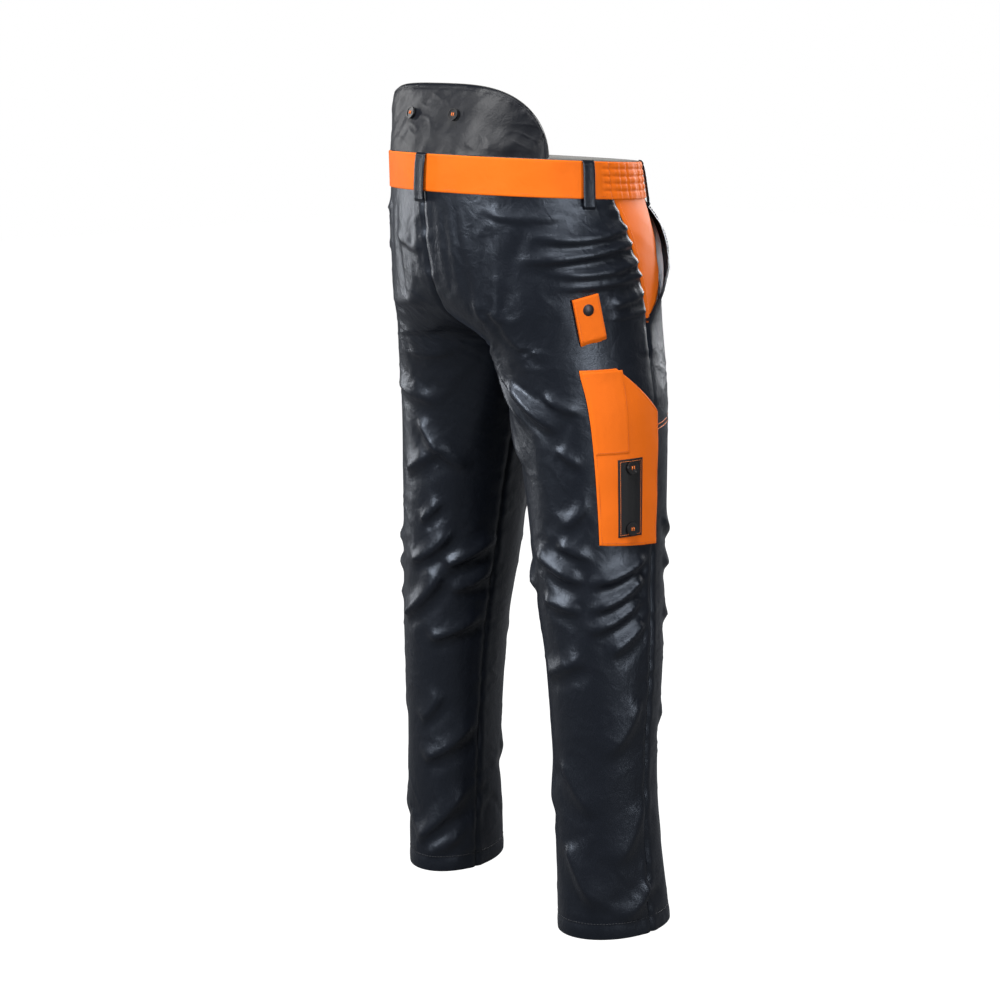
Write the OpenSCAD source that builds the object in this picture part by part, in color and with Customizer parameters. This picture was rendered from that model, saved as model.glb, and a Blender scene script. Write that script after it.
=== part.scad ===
// Chainsaw protective trousers with a raised kidney flap, standing as if worn.
//
// The origin is the centre of the waist opening, level with the waist edge at centre back.
// +Z is up, -Y is the wearer's front and +X the wearer's left. "Drop" is a distance below the origin.
//
// Every cloth piece is a sheet on one body surface. A place on that surface is an angle and a drop:
// the angle is 0 at the back, 90 at the outer side and 180 at the front, and an offset is outward.
// Above the crotch each half is an oval cut off at the centre seam. Below it, each leg is a whole oval.

/* [Lengths] */
// Waist edge at centre back down to the hem
side_length = 1055; // [1035:5:1075]
// Waist edge down to the crotch seam
rise = 258; // [255:1:262]
// Waist edge down to the knee's bend
knee_drop = 595; // [585:5:605]
// Height of the waistband
waistband_height = 49; // [45:1:51]
// How far the waist edge dips at centre front
waist_dip = 20; // [12:1:26]

/* [Girths] */
// Half width of the waist
waist_half_width = 185; // [180:1:190]
// Half depth of the waist
waist_half_depth = 171; // [165:1:176]
// Half width of the hips
hip_half_width = 198; // [192:1:202]
// Half depth of the hips
hip_half_depth = 179; // [174:1:183]
// Half width of the leg at the crotch
thigh_half_width = 98; // [96:1:100]
// Half width of the leg at the knee
knee_half_width = 80; // [74:1:82]
// Half width of the leg at the hem
hem_half_width = 60; // [57:1:64]
// Half depth of the leg at the hem
hem_half_depth = 83; // [78:1:88]

/* [Stance] */
// Centre of each leg at the knee, out from the middle
knee_spread = 145; // [138:1:152]
// Centre of each leg at the hem, out from the middle
hem_spread = 166; // [158:1:176]
// How far each hem turns its toe outward
toe_out = 12; // [0:1:16]

/* [Kidney flap] */
// Height of the flap above the waist edge
flap_height = 95; // [80:1:110]
// Half the angle that the flap covers round the back
flap_half_angle = 61; // [54:1:64]
// Distance between the two brace buttons on the flap
flap_button_gap = 90; // [70:1:100]

/* [Buttons and snaps] */
// Radius of a brace button
button_r = 8.5; // [7.5:0.25:9]
// Thickness of a brace button
button_t = 3; // [2.5:0.25:3.5]
// Radius of a snap's cap
snap_r = 8; // [6.5:0.25:8]

/* [Tool pocket] */
// Drop of the pocket's top edge
pocket_top = 288; // [284:1:296]
// Drop of the pocket's bottom edge
pocket_bottom = 526; // [515:1:528]
// Drop of the middle of the snap loop above the pocket
loop_drop = 221; // [216:1:224]

/* [Hidden] */

// Colours
black_cloth = "#1d2129";
orange_cloth = "#f57f1f";
grey_cloth = "#8f8b84";
white_cloth = "#dfe3e6";
dark_metal = "#4a4444";

// Cloth layers, each as [inner offset, outer offset]
shell = [-1.4, 0];
under_shell = [-3.6, -2.2];
pocket_bag_layer = [-6.5, -5.4];
pad_layer = [-13, -7.4];
lining_layer = [-17.5, -16.3];
waistband_layer = [-0.8, 0.9];
elastic_layer = [-3.4, -2.1];
waist_facing_layer = [-5.6, -4.4];
patch_layer = [0.9, 2.3];
second_patch_layer = [3.0, 4.2];

seam_gap = 0.4;   // left open between two pieces that a seam joins
edge_gap = 0.3;   // the same, as an angle

// Drops that split the cloth into the parts which stay rigid and the parts which bend
hip_bend_top = 230;
hip_bend_bottom = 362;
knee_bend_top = knee_drop - 10;
knee_bend_bottom = knee_drop + 90;
split_start = 140;   // where the two halves start to part into legs

// ---- The body surface ----

// A smooth curve through rows of [drop, value].
function slope(rows, i) =
    let (a = max(i - 1, 0), b = min(i + 1, len(rows) - 1))
    (rows[b][1] - rows[a][1]) / (rows[b][0] - rows[a][0]);
function row_before(rows, d, i = 0) =
    i + 2 >= len(rows) || d < rows[i + 1][0] ? i : row_before(rows, d, i + 1);
function curve(rows, d) =
    let (
        i = row_before(rows, d),
        span = rows[i + 1][0] - rows[i][0],
        t = min(max((d - rows[i][0]) / span, 0), 1)
    )
    (2 * t^3 - 3 * t^2 + 1) * rows[i][1] + (t^3 - 2 * t^2 + t) * span * slope(rows, i)
    + (3 * t^2 - 2 * t^3) * rows[i + 1][1] + (t^3 - t^2) * span * slope(rows, i + 1);

half_depths = [
    [0, waist_half_depth], [waistband_height, waist_half_depth + 3], [110, hip_half_depth],
    [150, hip_half_depth - 1], [205, hip_half_depth - 12], [rise, 140], [340, 121], [450, 108],
    [knee_drop, 96], [700, 85], [850, 74], [960, 77], [side_length, hem_half_depth]
];
centre_ys = [[0, 0], [110, -12], [205, -22], [340, -32], [knee_drop, -28], [850, -24], [side_length, -35]];
outer_widths = [
    [0, waist_half_width], [waistband_height, waist_half_width + 2], [110, hip_half_width],
    [rise, 2 * thigh_half_width + 6], [340, 216], [450, 221], [knee_drop, knee_spread + knee_half_width],
    [700, 230], [850, 226], [side_length, hem_spread + hem_half_width]
];
leg_centres = [
    [rise, thigh_half_width + 1], [340, 117], [450, 133], [knee_drop, knee_spread], [700, 156], [850, 160],
    [side_length, hem_spread]
];

function leg_x(d) =
    d < split_start ? 0
    : d < rise ? (thigh_half_width + 1) * ((d - split_start) / (rise - split_start))^1.5
    : curve(leg_centres, d);
function half_width(d) = curve(outer_widths, d) - leg_x(d);
function half_depth(d) = curve(half_depths, d);
function turn(d) = d < rise ? 0 : toe_out * (d - rise) / (side_length - rise);

// Angle past the back, or past the front, at which a layer meets the centre seam or the inseam.
function seam_angle(d, off) =
    leg_x(d) - seam_gap / 2 >= half_width(d) + off ? 90
    : asin((leg_x(d) - seam_gap / 2) / (half_width(d) + off));
// The inseam moves towards the back on its way down.
function inseam_shift(d) = d < rise ? 0 : 20 * (d - rise) / (side_length - rise);
function back_end(d, off) = -seam_angle(d, off) + inseam_shift(d) + edge_gap / 2;
function front_end(d, off) = 180 + seam_angle(d, off) + inseam_shift(d) - edge_gap / 2;
// The front panels stop short of centre front where the zip lies between them.
fly_top = waistband_height + 4;
fly_bottom = 196;
fly_slot = 9;
shield_half_width = 30;
function panel_end(d, off) =
    d < fly_bottom - 10 ? 180 - asin(fly_slot / (half_width(d) + off)) : front_end(d, off);
function outseam(d) = lookup(d, [[waistband_height, 93], [232, 108], [side_length, 106]]);
function pocket_mouth(d) = lookup(d, [[waistband_height, 138], [140, 131], [200, 118], [232, 108]]);

// The waist edge dips towards the front, and the dip fades out by the hips.
dip_end = 190;           // drop at which it has gone
function dip(a, d) =
    waist_dip * (1 - cos(a)) / 2 * min(max((dip_end - d) / (dip_end - waistband_height), 0), 1);

function on_body(a, d, off) =
    let (
        t = turn(d),
        x = (half_width(d) + off) * sin(a),
        y = (half_depth(d) + off) * cos(a)
    )
    [leg_x(d) + x * cos(t) - y * sin(t), curve(centre_ys, d) + x * sin(t) + y * cos(t), -d - dip(a, d)];

// ---- Building blocks ----

// A closed sheet between two surfaces. place(u, v, s) gives its points, with s 0 inside and 1 outside.
module sheet(place, nu, nv) {
    row = nu + 1;
    layer = row * (nv + 1);
    points = [for (s = [0, 1]) for (j = [0:nv]) for (i = [0:nu]) place(i / nu, j / nv, s)];
    outside = [for (j = [0:nv - 1]) for (i = [0:nu - 1])
        let (k = layer + j * row + i) [k, k + row, k + row + 1, k + 1]];
    inside = [for (j = [0:nv - 1]) for (i = [0:nu - 1])
        let (k = j * row + i) [k, k + 1, k + row + 1, k + row]];
    ends = [for (j = [0:nv - 1]) for (i = [0, nu])
        let (k = j * row + i, q = [k, k + row, k + row + layer, k + layer])
        i == 0 ? q : [q[3], q[2], q[1], q[0]]];
    edges = [for (i = [0:nu - 1]) for (j = [0, nv])
        let (k = j * row + i, q = [k, k + layer, k + layer + 1, k + 1])
        j == 0 ? q : [q[3], q[2], q[1], q[0]]];
    polyhedron(points, concat(outside, inside, ends, edges), convexity = 6);
}

// Cloth between two drops. from(d, off) and to(d, off) are the angles of its two side edges.
module cloth(from, to, top, bottom, layer, nu, nv) {
    place = function (u, v, s)
        let (d = top + (bottom - top) * v, off = layer[s], a = from(d, off))
        on_body(a + (to(d, off) - a) * u, d, off);
    sheet(place, nu, nv);
}

// Moves children to a point on a surface, with +Z outward and +Y up.
// "along" and "up" are two directions in the surface, and "along" runs towards larger angles.
module stand_at(point, along, up) {
    z = cross(up, along) / norm(cross(up, along));
    x = -along / norm(along);
    y = cross(z, x);
    multmatrix([
        [x[0], y[0], z[0], point[0]],
        [x[1], y[1], z[1], point[1]],
        [x[2], y[2], z[2], point[2]],
        [0, 0, 0, 1]
    ]) children();
}
module stand_on(a, d, off) {
    stand_at(on_body(a, d, off), on_body(a + 1, d, off) - on_body(a - 1, d, off),
        on_body(a, d - 1, off) - on_body(a, d + 1, off)) children();
}

module right_side() { mirror([1, 0, 0]) children(); }
module both_sides() { children(); right_side() children(); }

module brace_button() {
    hole_gap = 3.2;
    rim = 1.6;
    color(black_cloth) difference() {
        cylinder(r = button_r, h = button_t, $fn = 48);
        translate([0, 0, button_t - 0.8]) cylinder(r = button_r - rim, h = 1, $fn = 48);
        for (x = [-1, 1]) for (y = [-1, 1])
            translate([x * hole_gap / 2, y * hole_gap / 2, -1]) cylinder(r = 0.9, h = button_t + 2, $fn = 24);
    }
}

// The thread shank under a button and the two stitches that show on its face.
module button_thread() {
    hole_gap = 3.2;
    thread_r = 0.6;
    shank = 1.4;
    stitch_z = button_t - 0.8;
    color(orange_cloth) {
        translate([0, 0, -shank]) cylinder(r = 2.4, h = shank - 0.05, $fn = 32);
        for (x = [-1, 1]) {
            for (y = [-1, 1])
                translate([x * hole_gap / 2, y * hole_gap / 2, -0.1])
                    cylinder(r = thread_r, h = stitch_z + 0.6, $fn = 16);
            translate([x * hole_gap / 2, -hole_gap / 2, stitch_z + 0.55])
                rotate([-90, 0, 0]) cylinder(r = thread_r * 0.8, h = hole_gap, $fn = 16);
        }
    }
}

// ---- Shell ----

module seat_panel() {
    color(black_cloth)
        cloth(function (d, off) back_end(d, off), function (d, off) outseam(d) - edge_gap,
            waistband_height + seam_gap, hip_bend_top, shell, 14, 8);
}

module front_panel() {
    color(black_cloth)
        cloth(function (d, off) pocket_mouth(d) + edge_gap, function (d, off) panel_end(d, off),
            waistband_height + seam_gap, hip_bend_top, shell, 10, 8);
}

// The back and front cloth over a bend, which folds with the joint.
module shell_bend(top, bottom, nu, nv) {
    color(black_cloth) {
        cloth(function (d, off) back_end(d, off), function (d, off) outseam(d) - edge_gap,
            top + seam_gap, bottom, shell, nu, nv);
        cloth(function (d, off) outseam(d) + edge_gap, function (d, off) front_end(d, off),
            top + seam_gap, bottom, shell, nu, nv);
    }
}
module hip_bend() { shell_bend(hip_bend_top, hip_bend_bottom, 10, bend_rows); }
module knee_bend() { shell_bend(knee_bend_top, knee_bend_bottom, 8, 2); }

module leg_back(top, bottom, nv) {
    color(black_cloth)
        cloth(function (d, off) back_end(d, off), function (d, off) outseam(d) - edge_gap,
            top + seam_gap, bottom, shell, 8, nv);
}
module leg_front(top, bottom, nv) {
    color(black_cloth)
        cloth(function (d, off) outseam(d) + edge_gap, function (d, off) front_end(d, off),
            top + seam_gap, bottom, shell, 8, nv);
}

// ---- Cut protection and lining ----

pad_end_margin = 4;       // degrees left free beside the inseam
pad_hem_margin = 50;      // drop left free above the hem
bend_rows = 5;            // rows of cloth in the hip's bend
pad_top = hip_bend_top - (hip_bend_bottom - hip_bend_top) / bend_rows;

module pad(top, bottom, nv) {
    color("#e8e2d0")
        cloth(function (d, off) outseam(d) - 8, function (d, off) front_end(d, off) - pad_end_margin,
            top + seam_gap, bottom, pad_layer, 8, nv);
}
module hip_pad() { pad(pad_top, hip_bend_bottom, bend_rows + 1); }

// The lining stops beside the fly's shield.
function lining_end(d, off) =
    d < fly_bottom ? 180 - asin((shield_half_width + 2) / (half_width(d) + off)) : front_end(d, off);
module lining(top, bottom, nu, nv) {
    color(grey_cloth)
        cloth(function (d, off) back_end(d, off), function (d, off) lining_end(d, off),
            top + seam_gap, bottom, lining_layer, nu, nv);
}
module hips_lining() { both_sides() lining(waistband_height, hip_bend_top, 16, 5); }

// ---- Waist ----

module waist_ring(layer, from, to, nu) {
    cloth(function (d, off) from, function (d, off) to, 0, waistband_height, layer, nu, 1);
}
module waistband() { color(orange_cloth) waist_ring(waistband_layer, edge_gap, 180 - edge_gap, 16); }
module waistband_facing() {
    color(grey_cloth) both_sides() waist_ring(waist_facing_layer, edge_gap, 180 - edge_gap, 16);
}

// Elastic bands that gather the waist at both sides, between two angles.
elastic_from = 88;
elastic_to = 136;
module side_elastics() {
    margin = 5;
    color(white_cloth) both_sides()
        cloth(function (d, off) elastic_from, function (d, off) elastic_to,
            margin, waistband_height - margin, elastic_layer, 6, 1);
}

// A belt loop is sewn down at both ends and stands clear of the waistband between them.
belt_loop_angles = [78, 141];
belt_loop_width = 19;
belt_loop_bottom = 66;
belt_room = 5;
module belt_loop(a) {
    thick = 1.6;
    half = belt_loop_width / 2 / waist_half_width * 180 / PI;
    place = function (u, v, s)
        let (d = 2 + (belt_loop_bottom - 2) * v, rise_out = belt_room * (1 - abs(2 * v - 1)^4))
        on_body(a - half + 2 * half * u, d, 1.2 + rise_out + thick * s);
    color(black_cloth) sheet(place, 2, 10);
}
module belt_loops() {
    belt_loop(0);
    for (a = belt_loop_angles) both_sides() belt_loop(a);
}

// ---- Slash pockets ----

// The facing shows in the open pocket mouth, and the bag hangs behind it.
module pocket_facings() {
    overlap = 9;
    color(orange_cloth) both_sides()
        cloth(function (d, off) outseam(d) + edge_gap, function (d, off) pocket_mouth(d) + overlap,
            waistband_height + seam_gap, hip_bend_top, under_shell, 6, 5);
}
module pocket_bags() {
    color(white_cloth) both_sides()
        cloth(function (d, off) outseam(d) + 2, function (d, off) 158,
            waistband_height + 2, hip_bend_top - 2, pocket_bag_layer, 5, 7);
}

// ---- Brace buttons ----

front_button_angles = [150, 161];
front_button_drop = 16;
button_stand_off = 2.6;
module on_front_buttons() {
    for (a = front_button_angles) both_sides() stand_on(a, front_button_drop, button_stand_off) children();
}
module front_brace_buttons() { on_front_buttons() brace_button(); }
module front_button_threads() { on_front_buttons() button_thread(); }

// ---- Kidney flap ----

flap_layer = [-1.8, -0.6];          // outer cloth
flap_foam_layer = [-6.2, -2.8];
flap_lining_layer = [-8.4, -7.2];
flap_gap = 1;
flap_lean_in = 32;                  // how far the middle of the top edge leans in over the waist

// How far across the flap a column stands, from -1 to 1. The columns crowd towards the rounded ends.
function flap_across(u) = -cos(180 * u);
function flap_reach(u) = flap_height * (1 - flap_across(u)^4)^0.5;
function flap_at(a, h, off) =
    let (lean = flap_lean_in * h / flap_height * cos(a)^4)
    [(waist_half_width + off) * sin(a), (waist_half_depth + off - lean) * cos(a), h - dip(a, 0)];
function on_flap(u, v, off, inset) =
    let (a = flap_across(u) * (flap_half_angle - inset))
    flap_at(a, flap_gap + inset / 2 + max(flap_reach(u) - inset, 2) * v, off);

module flap_sheet(layer, inset, nu, nv) {
    sheet(function (u, v, s) on_flap(u, 1 - v, layer[s], inset), nu, nv);
}
module kidney_flap_outer() { color(black_cloth) flap_sheet(flap_layer, 0, 18, 3); }
module kidney_flap_foam() { color("#c9c4b4") flap_sheet(flap_foam_layer, 3, 18, 2); }
module kidney_flap_lining() { color(grey_cloth) flap_sheet(flap_lining_layer, 0, 18, 2); }

flap_button_height = 54;
module on_flap_buttons() {
    stand_off = 1.5;
    a = asin(flap_button_gap / 2 / waist_half_width);
    both_sides() stand_at(flap_at(a, flap_button_height, stand_off),
        flap_at(a + 1, flap_button_height, stand_off) - flap_at(a - 1, flap_button_height, stand_off),
        flap_at(a, flap_button_height + 1, stand_off) - flap_at(a, flap_button_height - 1, stand_off))
        children();
}
module flap_brace_buttons() { on_flap_buttons() brace_button(); }
module flap_button_threads() { on_flap_buttons() button_thread(); }

// ---- Waist closure ----

tab_from = 168;
tab_reach = 24;      // degrees, so the tab crosses centre front
tab_layer = [3.2, 4.4];
tab_snap_angle = 172.5;
tab_snap_drop = 24;
snap_ring_r = 4.6;

// The overlapping end of the left waistband, with a hole for its snap.
module waist_tab() {
    margin = 3;
    place = function (u, v, s)
        on_body(tab_from + tab_reach * u, margin + (waistband_height - 2 * margin) * v, tab_layer[s]);
    color(orange_cloth) difference() {
        sheet(place, 4, 1);
        at_waist_snap() translate([0, 0, -4]) cylinder(r = snap_ring_r + 0.1, h = 8, $fn = 48);
    }
}
// A snap's cap is a low dome, with a socket ring behind the cloth it is pressed through.
module snap_cap(cloth_t) {
    bore_r = 2.6;
    dome = 2;
    color(dark_metal) {
        difference() {
            translate([0, 0, dome - snap_r^2 / 2 / dome - dome / 2])
                sphere(r = snap_r^2 / 2 / dome + dome / 2, $fn = 64);
            translate([0, 0, -100]) cube([200, 200, 200], center = true);
        }
        translate([0, 0, -cloth_t - 1.3]) difference() {
            cylinder(r = snap_ring_r, h = cloth_t + 1.3, $fn = 48);
            translate([0, 0, -1]) cylinder(r = bore_r, h = 2.2, $fn = 48);
        }
    }
}
module snap_stud(post) {
    color(dark_metal) {
        cylinder(r = 5.5, h = 0.5, $fn = 48);
        cylinder(r = 2.1, h = post, $fn = 48);
    }
}
// The snap stands on the tab's outer face, and its stud lies below on the right waistband.
module at_waist_snap() {
    right_side() stand_on(tab_snap_angle, tab_snap_drop, tab_layer[1] + 0.05) children();
}
module waist_snap_cap() { at_waist_snap() snap_cap(tab_layer[1] - tab_layer[0]); }
module waist_snap_stud() {
    at_waist_snap() translate([0, 0, waistband_layer[1] - tab_layer[1]]) snap_stud(1.6);
}

// ---- Fly ----

fly_facing_layer = [1.5, 2.9];
fly_width = 36;
fly_lap = 6;

// A point on the front, measured across from centre front.
function on_front(x, d, off) =
    let (across = (abs(x) - leg_x(d)) / (half_width(d) + off))
    [x, curve(centre_ys, d) - (half_depth(d) + off) * sqrt(1 - across^2), -d - dip(180, d)];
module front_strip(x0, x1, top, bottom, layer, nu, nv) {
    sheet(function (u, v, s) on_front(x0 + (x1 - x0) * u, top + (bottom - top) * v, layer[s]), nu, nv);
}
module fly_facing() {
    color(black_cloth) front_strip(-fly_lap, fly_width, fly_top, fly_bottom, fly_facing_layer, 4, 8);
}
module fly_shield() {
    color(black_cloth)
        front_strip(-shield_half_width, shield_half_width, fly_top, fly_bottom - 4, lining_layer, 4, 8);
}

// The zip lies on a straight line behind the fly.
zip_top = 62;
zip_length = 118;
zip_in = 5.6;            // depth of the chain behind the shell
zip_from = on_front(0, zip_top, -zip_in);
zip_to = on_front(0, zip_top + zip_length, -zip_in);
zip_lean = atan2(zip_from[1] - zip_to[1], zip_from[2] - zip_to[2]);
tooth_pitch = 4;
slider_length = 9;
puller_length = 15;
module along_zip() { translate(zip_from) rotate([-zip_lean, 0, 0]) children(); }
module zip_tapes() {
    tape_t = 0.8;
    tape_w = 12;
    tape_from = 2.4;
    for (s = [-1, 1]) color(black_cloth) along_zip()
        translate([s * (tape_w / 2 + tape_from) - tape_w / 2, -tape_t / 2, -zip_length])
            cube([tape_w, tape_t, zip_length]);
}
module zip_teeth() {
    tooth = [2.2, 1.6, 1.4];
    count = floor((zip_length - slider_length - 4) / tooth_pitch);
    color(dark_metal) along_zip() for (s = [0, 1]) for (i = [0:count - 1])
        translate([s == 0 ? -tooth[0] - 0.02 : 0.02, -tooth[1] / 2,
            -slider_length - 4 - tooth_pitch * (i + s / 2)]) cube(tooth);
}
// The slider straddles the chain: a plate in front, a plate behind and a wedge between them at the top.
module zip_slider() {
    plate = [8.4, 1, slider_length];
    gap = 2.2;
    color(dark_metal) along_zip() translate([0, 0, -slider_length - 1]) {
        translate([-plate[0] / 2, -gap / 2 - plate[1], 0]) cube(plate);
        translate([-plate[0] / 2, gap / 2, 0]) cube(plate);
        translate([-0.9, -gap / 2 - 0.1, slider_length - 2]) cube([1.8, gap + 0.2, 2]);
        for (s = [-1, 1]) translate([s * 2.4 - 0.4, -gap / 2 - plate[1] - 1.6, 2]) difference() {
            cube([0.8, 1.8, 4]);
            translate([-1, 0.7, 2]) rotate([0, 90, 0]) cylinder(r = 0.45, h = 3, $fn = 24);
        }
    }
}
// The puller hangs on a pin between the slider's two ears.
module zip_puller() {
    pin = [0, -2.2 / 2 - 1 - 0.9, -slider_length - 1 + 4];
    color(dark_metal) along_zip() translate(pin) {
        translate([-2.9, 0, 0]) rotate([0, 90, 0]) cylinder(r = 0.4, h = 5.8, $fn = 24);
        difference() {
            translate([-1.6, -0.35, -puller_length]) cube([3.2, 0.7, puller_length]);
            translate([0, -1, 3.5 - puller_length]) rotate([-90, 0, 0]) cylinder(r = 0.9, h = 2, $fn = 24);
        }
    }
}

// ---- Right leg: tool pocket ----

pocket_front_edge = 111;    // angle of the pocket's front edge below the cut corner
pocket_corner_drop = 352;
function pocket_back(d) = 52 + 4.5 * (d - pocket_top) / (pocket_bottom - pocket_top);
function pocket_front(d) =
    d > pocket_corner_drop ? pocket_front_edge
    : 77 + (pocket_front_edge - 77) * (d - pocket_top) / (pocket_corner_drop - pocket_top);

module tool_pocket() {
    color(orange_cloth) right_side() {
        cloth(function (d, off) pocket_back(d), function (d, off) pocket_front(d),
            pocket_top, pocket_corner_drop, patch_layer, 6, 3);
        cloth(function (d, off) pocket_back(d), function (d, off) pocket_front(d + 0.1),
            pocket_corner_drop, pocket_bottom, patch_layer, 6, 7);
    }
}
// A narrow pocket for a folding rule, sewn on top of the tool pocket.
module rule_pocket() {
    color(orange_cloth) right_side()
        cloth(function (d, off) pocket_back(d) + 2, function (d, off) 81,
            pocket_top + 4, 400, second_patch_layer, 3, 4);
}
patch_angle = 82;
patch_half_angle = 10.5;
patch_drops = [410, 514];
module name_patch() {
    color(black_cloth) right_side()
        cloth(function (d, off) patch_angle - patch_half_angle,
            function (d, off) patch_angle + patch_half_angle,
            patch_drops[0], patch_drops[1], second_patch_layer, 3, 4);
}
module patch_buttons() {
    margin = 11;
    lift = 6.1;
    right_side() for (d = [patch_drops[0] + margin, patch_drops[1] - margin]) stand_on(patch_angle, d, lift) {
        brace_button();
        button_thread();
    }
}

// ---- Right leg: snap loop ----

loop_angle = 68;
loop_size = [38, 64];
loop_t = 1.2;
loop_stand = 1.6;       // height of the strap's back layer above the body surface
loop_space = 3.4;       // room between the strap and the flap, where the snap closes
module at_loop(h) {
    tilt = -12;
    right_side() stand_on(loop_angle, loop_drop, loop_stand + h) rotate([0, 0, tilt]) children();
}
module loop_strap() {
    fold = loop_space - 0.4;
    color(orange_cloth) at_loop(0) {
        translate([-loop_size[0] / 2, -loop_size[1] / 2, 0]) cube([loop_size[0], loop_size[1], loop_t]);
        translate([-loop_size[0] / 2, -loop_size[1] / 2, 0]) cube([loop_size[0], 3, fold]);
    }
}
module loop_flap() {
    color(orange_cloth) at_loop(loop_space) difference() {
        translate([-loop_size[0] / 2, -loop_size[1] / 2, 0]) cube([loop_size[0], loop_size[1], loop_t]);
        translate([0, loop_snap_y, -1]) cylinder(r = snap_ring_r + 0.1, h = 4, $fn = 48);
    }
}
loop_snap_y = 14;
module loop_snap_cap() {
    at_loop(loop_space + loop_t + 0.05) translate([0, loop_snap_y, 0]) snap_cap(loop_t);
}
module loop_snap_stud() { at_loop(loop_t + 0.05) translate([0, loop_snap_y, 0]) snap_stud(1.6); }

// ---- Assembly ----

module left_and_right(name) {
    children();
    right_side() children();
}

left_and_right("seat_panel") seat_panel();
left_and_right("front_panel") front_panel();
left_and_right("hip_bend") hip_bend();
left_and_right("hip_pad") hip_pad();
hips_lining();
left_and_right("waistband") waistband();
waistband_facing();
side_elastics();
belt_loops();
pocket_facings();
pocket_bags();
front_brace_buttons();
front_button_threads();
fly_shield();
zip_tapes();
zip_teeth();
waist_snap_stud();
loop_strap();
loop_snap_stud();
kidney_flap_outer();
kidney_flap_foam();
kidney_flap_lining();
flap_brace_buttons();
flap_button_threads();
waist_tab();
waist_snap_cap();
fly_facing();
zip_slider();
zip_puller();
loop_flap();
loop_snap_cap();
left_and_right("thigh_back") leg_back(hip_bend_bottom, knee_bend_top, 4);
left_and_right("thigh_front") leg_front(hip_bend_bottom, knee_bend_top, 4);
left_and_right("thigh_pad") pad(hip_bend_bottom, knee_bend_top, 3);
left_and_right("thigh_lining") lining(hip_bend_bottom, knee_bend_top, 14, 2);
left_and_right("knee_bend") knee_bend();
left_and_right("knee_pad") pad(knee_bend_top, knee_bend_bottom, 1);
tool_pocket();
rule_pocket();
name_patch();
patch_buttons();
left_and_right("shin_back") leg_back(knee_bend_bottom, side_length, 7);
left_and_right("shin_front") leg_front(knee_bend_bottom, side_length, 7);
left_and_right("shin_pad") pad(knee_bend_bottom, side_length - pad_hem_margin, 4);
left_and_right("shin_lining") lining(knee_bend_bottom, side_length - 20, 14, 4);
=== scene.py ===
"""Chainsaw protective trousers: cloth, stitching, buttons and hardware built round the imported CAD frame."""
import math

import bpy
import bmesh
import numpy as np
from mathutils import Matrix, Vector


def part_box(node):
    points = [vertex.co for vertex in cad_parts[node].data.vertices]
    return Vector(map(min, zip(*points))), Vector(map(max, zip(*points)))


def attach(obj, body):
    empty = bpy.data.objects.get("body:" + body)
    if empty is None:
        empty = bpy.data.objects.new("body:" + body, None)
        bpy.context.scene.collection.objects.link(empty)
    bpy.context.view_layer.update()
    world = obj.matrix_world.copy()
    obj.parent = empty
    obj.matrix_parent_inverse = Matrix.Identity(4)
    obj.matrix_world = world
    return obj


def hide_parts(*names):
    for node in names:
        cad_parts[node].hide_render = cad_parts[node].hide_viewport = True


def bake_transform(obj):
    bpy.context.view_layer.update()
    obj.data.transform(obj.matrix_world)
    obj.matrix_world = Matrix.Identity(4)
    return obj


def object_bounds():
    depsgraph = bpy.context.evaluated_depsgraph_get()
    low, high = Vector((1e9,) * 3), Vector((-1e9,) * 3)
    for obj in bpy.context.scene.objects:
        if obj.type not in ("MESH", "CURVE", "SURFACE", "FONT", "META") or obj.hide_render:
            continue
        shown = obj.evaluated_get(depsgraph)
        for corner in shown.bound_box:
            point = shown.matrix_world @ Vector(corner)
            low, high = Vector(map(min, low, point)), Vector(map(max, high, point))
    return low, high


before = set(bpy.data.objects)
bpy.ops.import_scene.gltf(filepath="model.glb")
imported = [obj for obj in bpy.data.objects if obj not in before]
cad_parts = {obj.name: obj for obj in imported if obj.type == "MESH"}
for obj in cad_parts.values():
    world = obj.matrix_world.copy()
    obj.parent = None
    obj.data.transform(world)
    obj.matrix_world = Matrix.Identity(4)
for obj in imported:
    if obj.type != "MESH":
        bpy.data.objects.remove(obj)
cad_low, cad_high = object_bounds()

# ---- Sizes, in millimetres as in the CAD source; meshes are built in metres ----

MM = 0.001
WAISTBAND = 49
RISE = 258
FORK = 140               # drop at which the two halves start to part into legs
KNEE = 595
HEM = -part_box("shin_back_left")[0].z / MM
POCKET_TIP = 232
FLY = (53, 190)          # drops that the fly's slot runs between
FLY_SLOT = (-5, 10)      # how far the slot reaches to the wearer's right and left of centre front
FLAP_HALF_ANGLE = 61
FLAP_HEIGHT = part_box("kidney_flap_outer")[1].z / MM - 1
WAIST = (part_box("waistband_left")[1].x / MM - 2.9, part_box("waistband_left")[1].y / MM - 0.9)
KNEE_SPREAD, HEM_SPREAD, HEM_HALF_WIDTH = 145, 166, 60
TOE_OUT = 12
WAIST_DIP = 20

# The hip's bend starts at the crotch and ends below it; the knee's bend lies round the knee. The cloth is cut
# between them, where it moves with the thigh alone.
CUT = 485

# ---- The body surface: the same one that the CAD sheets lie on ----

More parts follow.
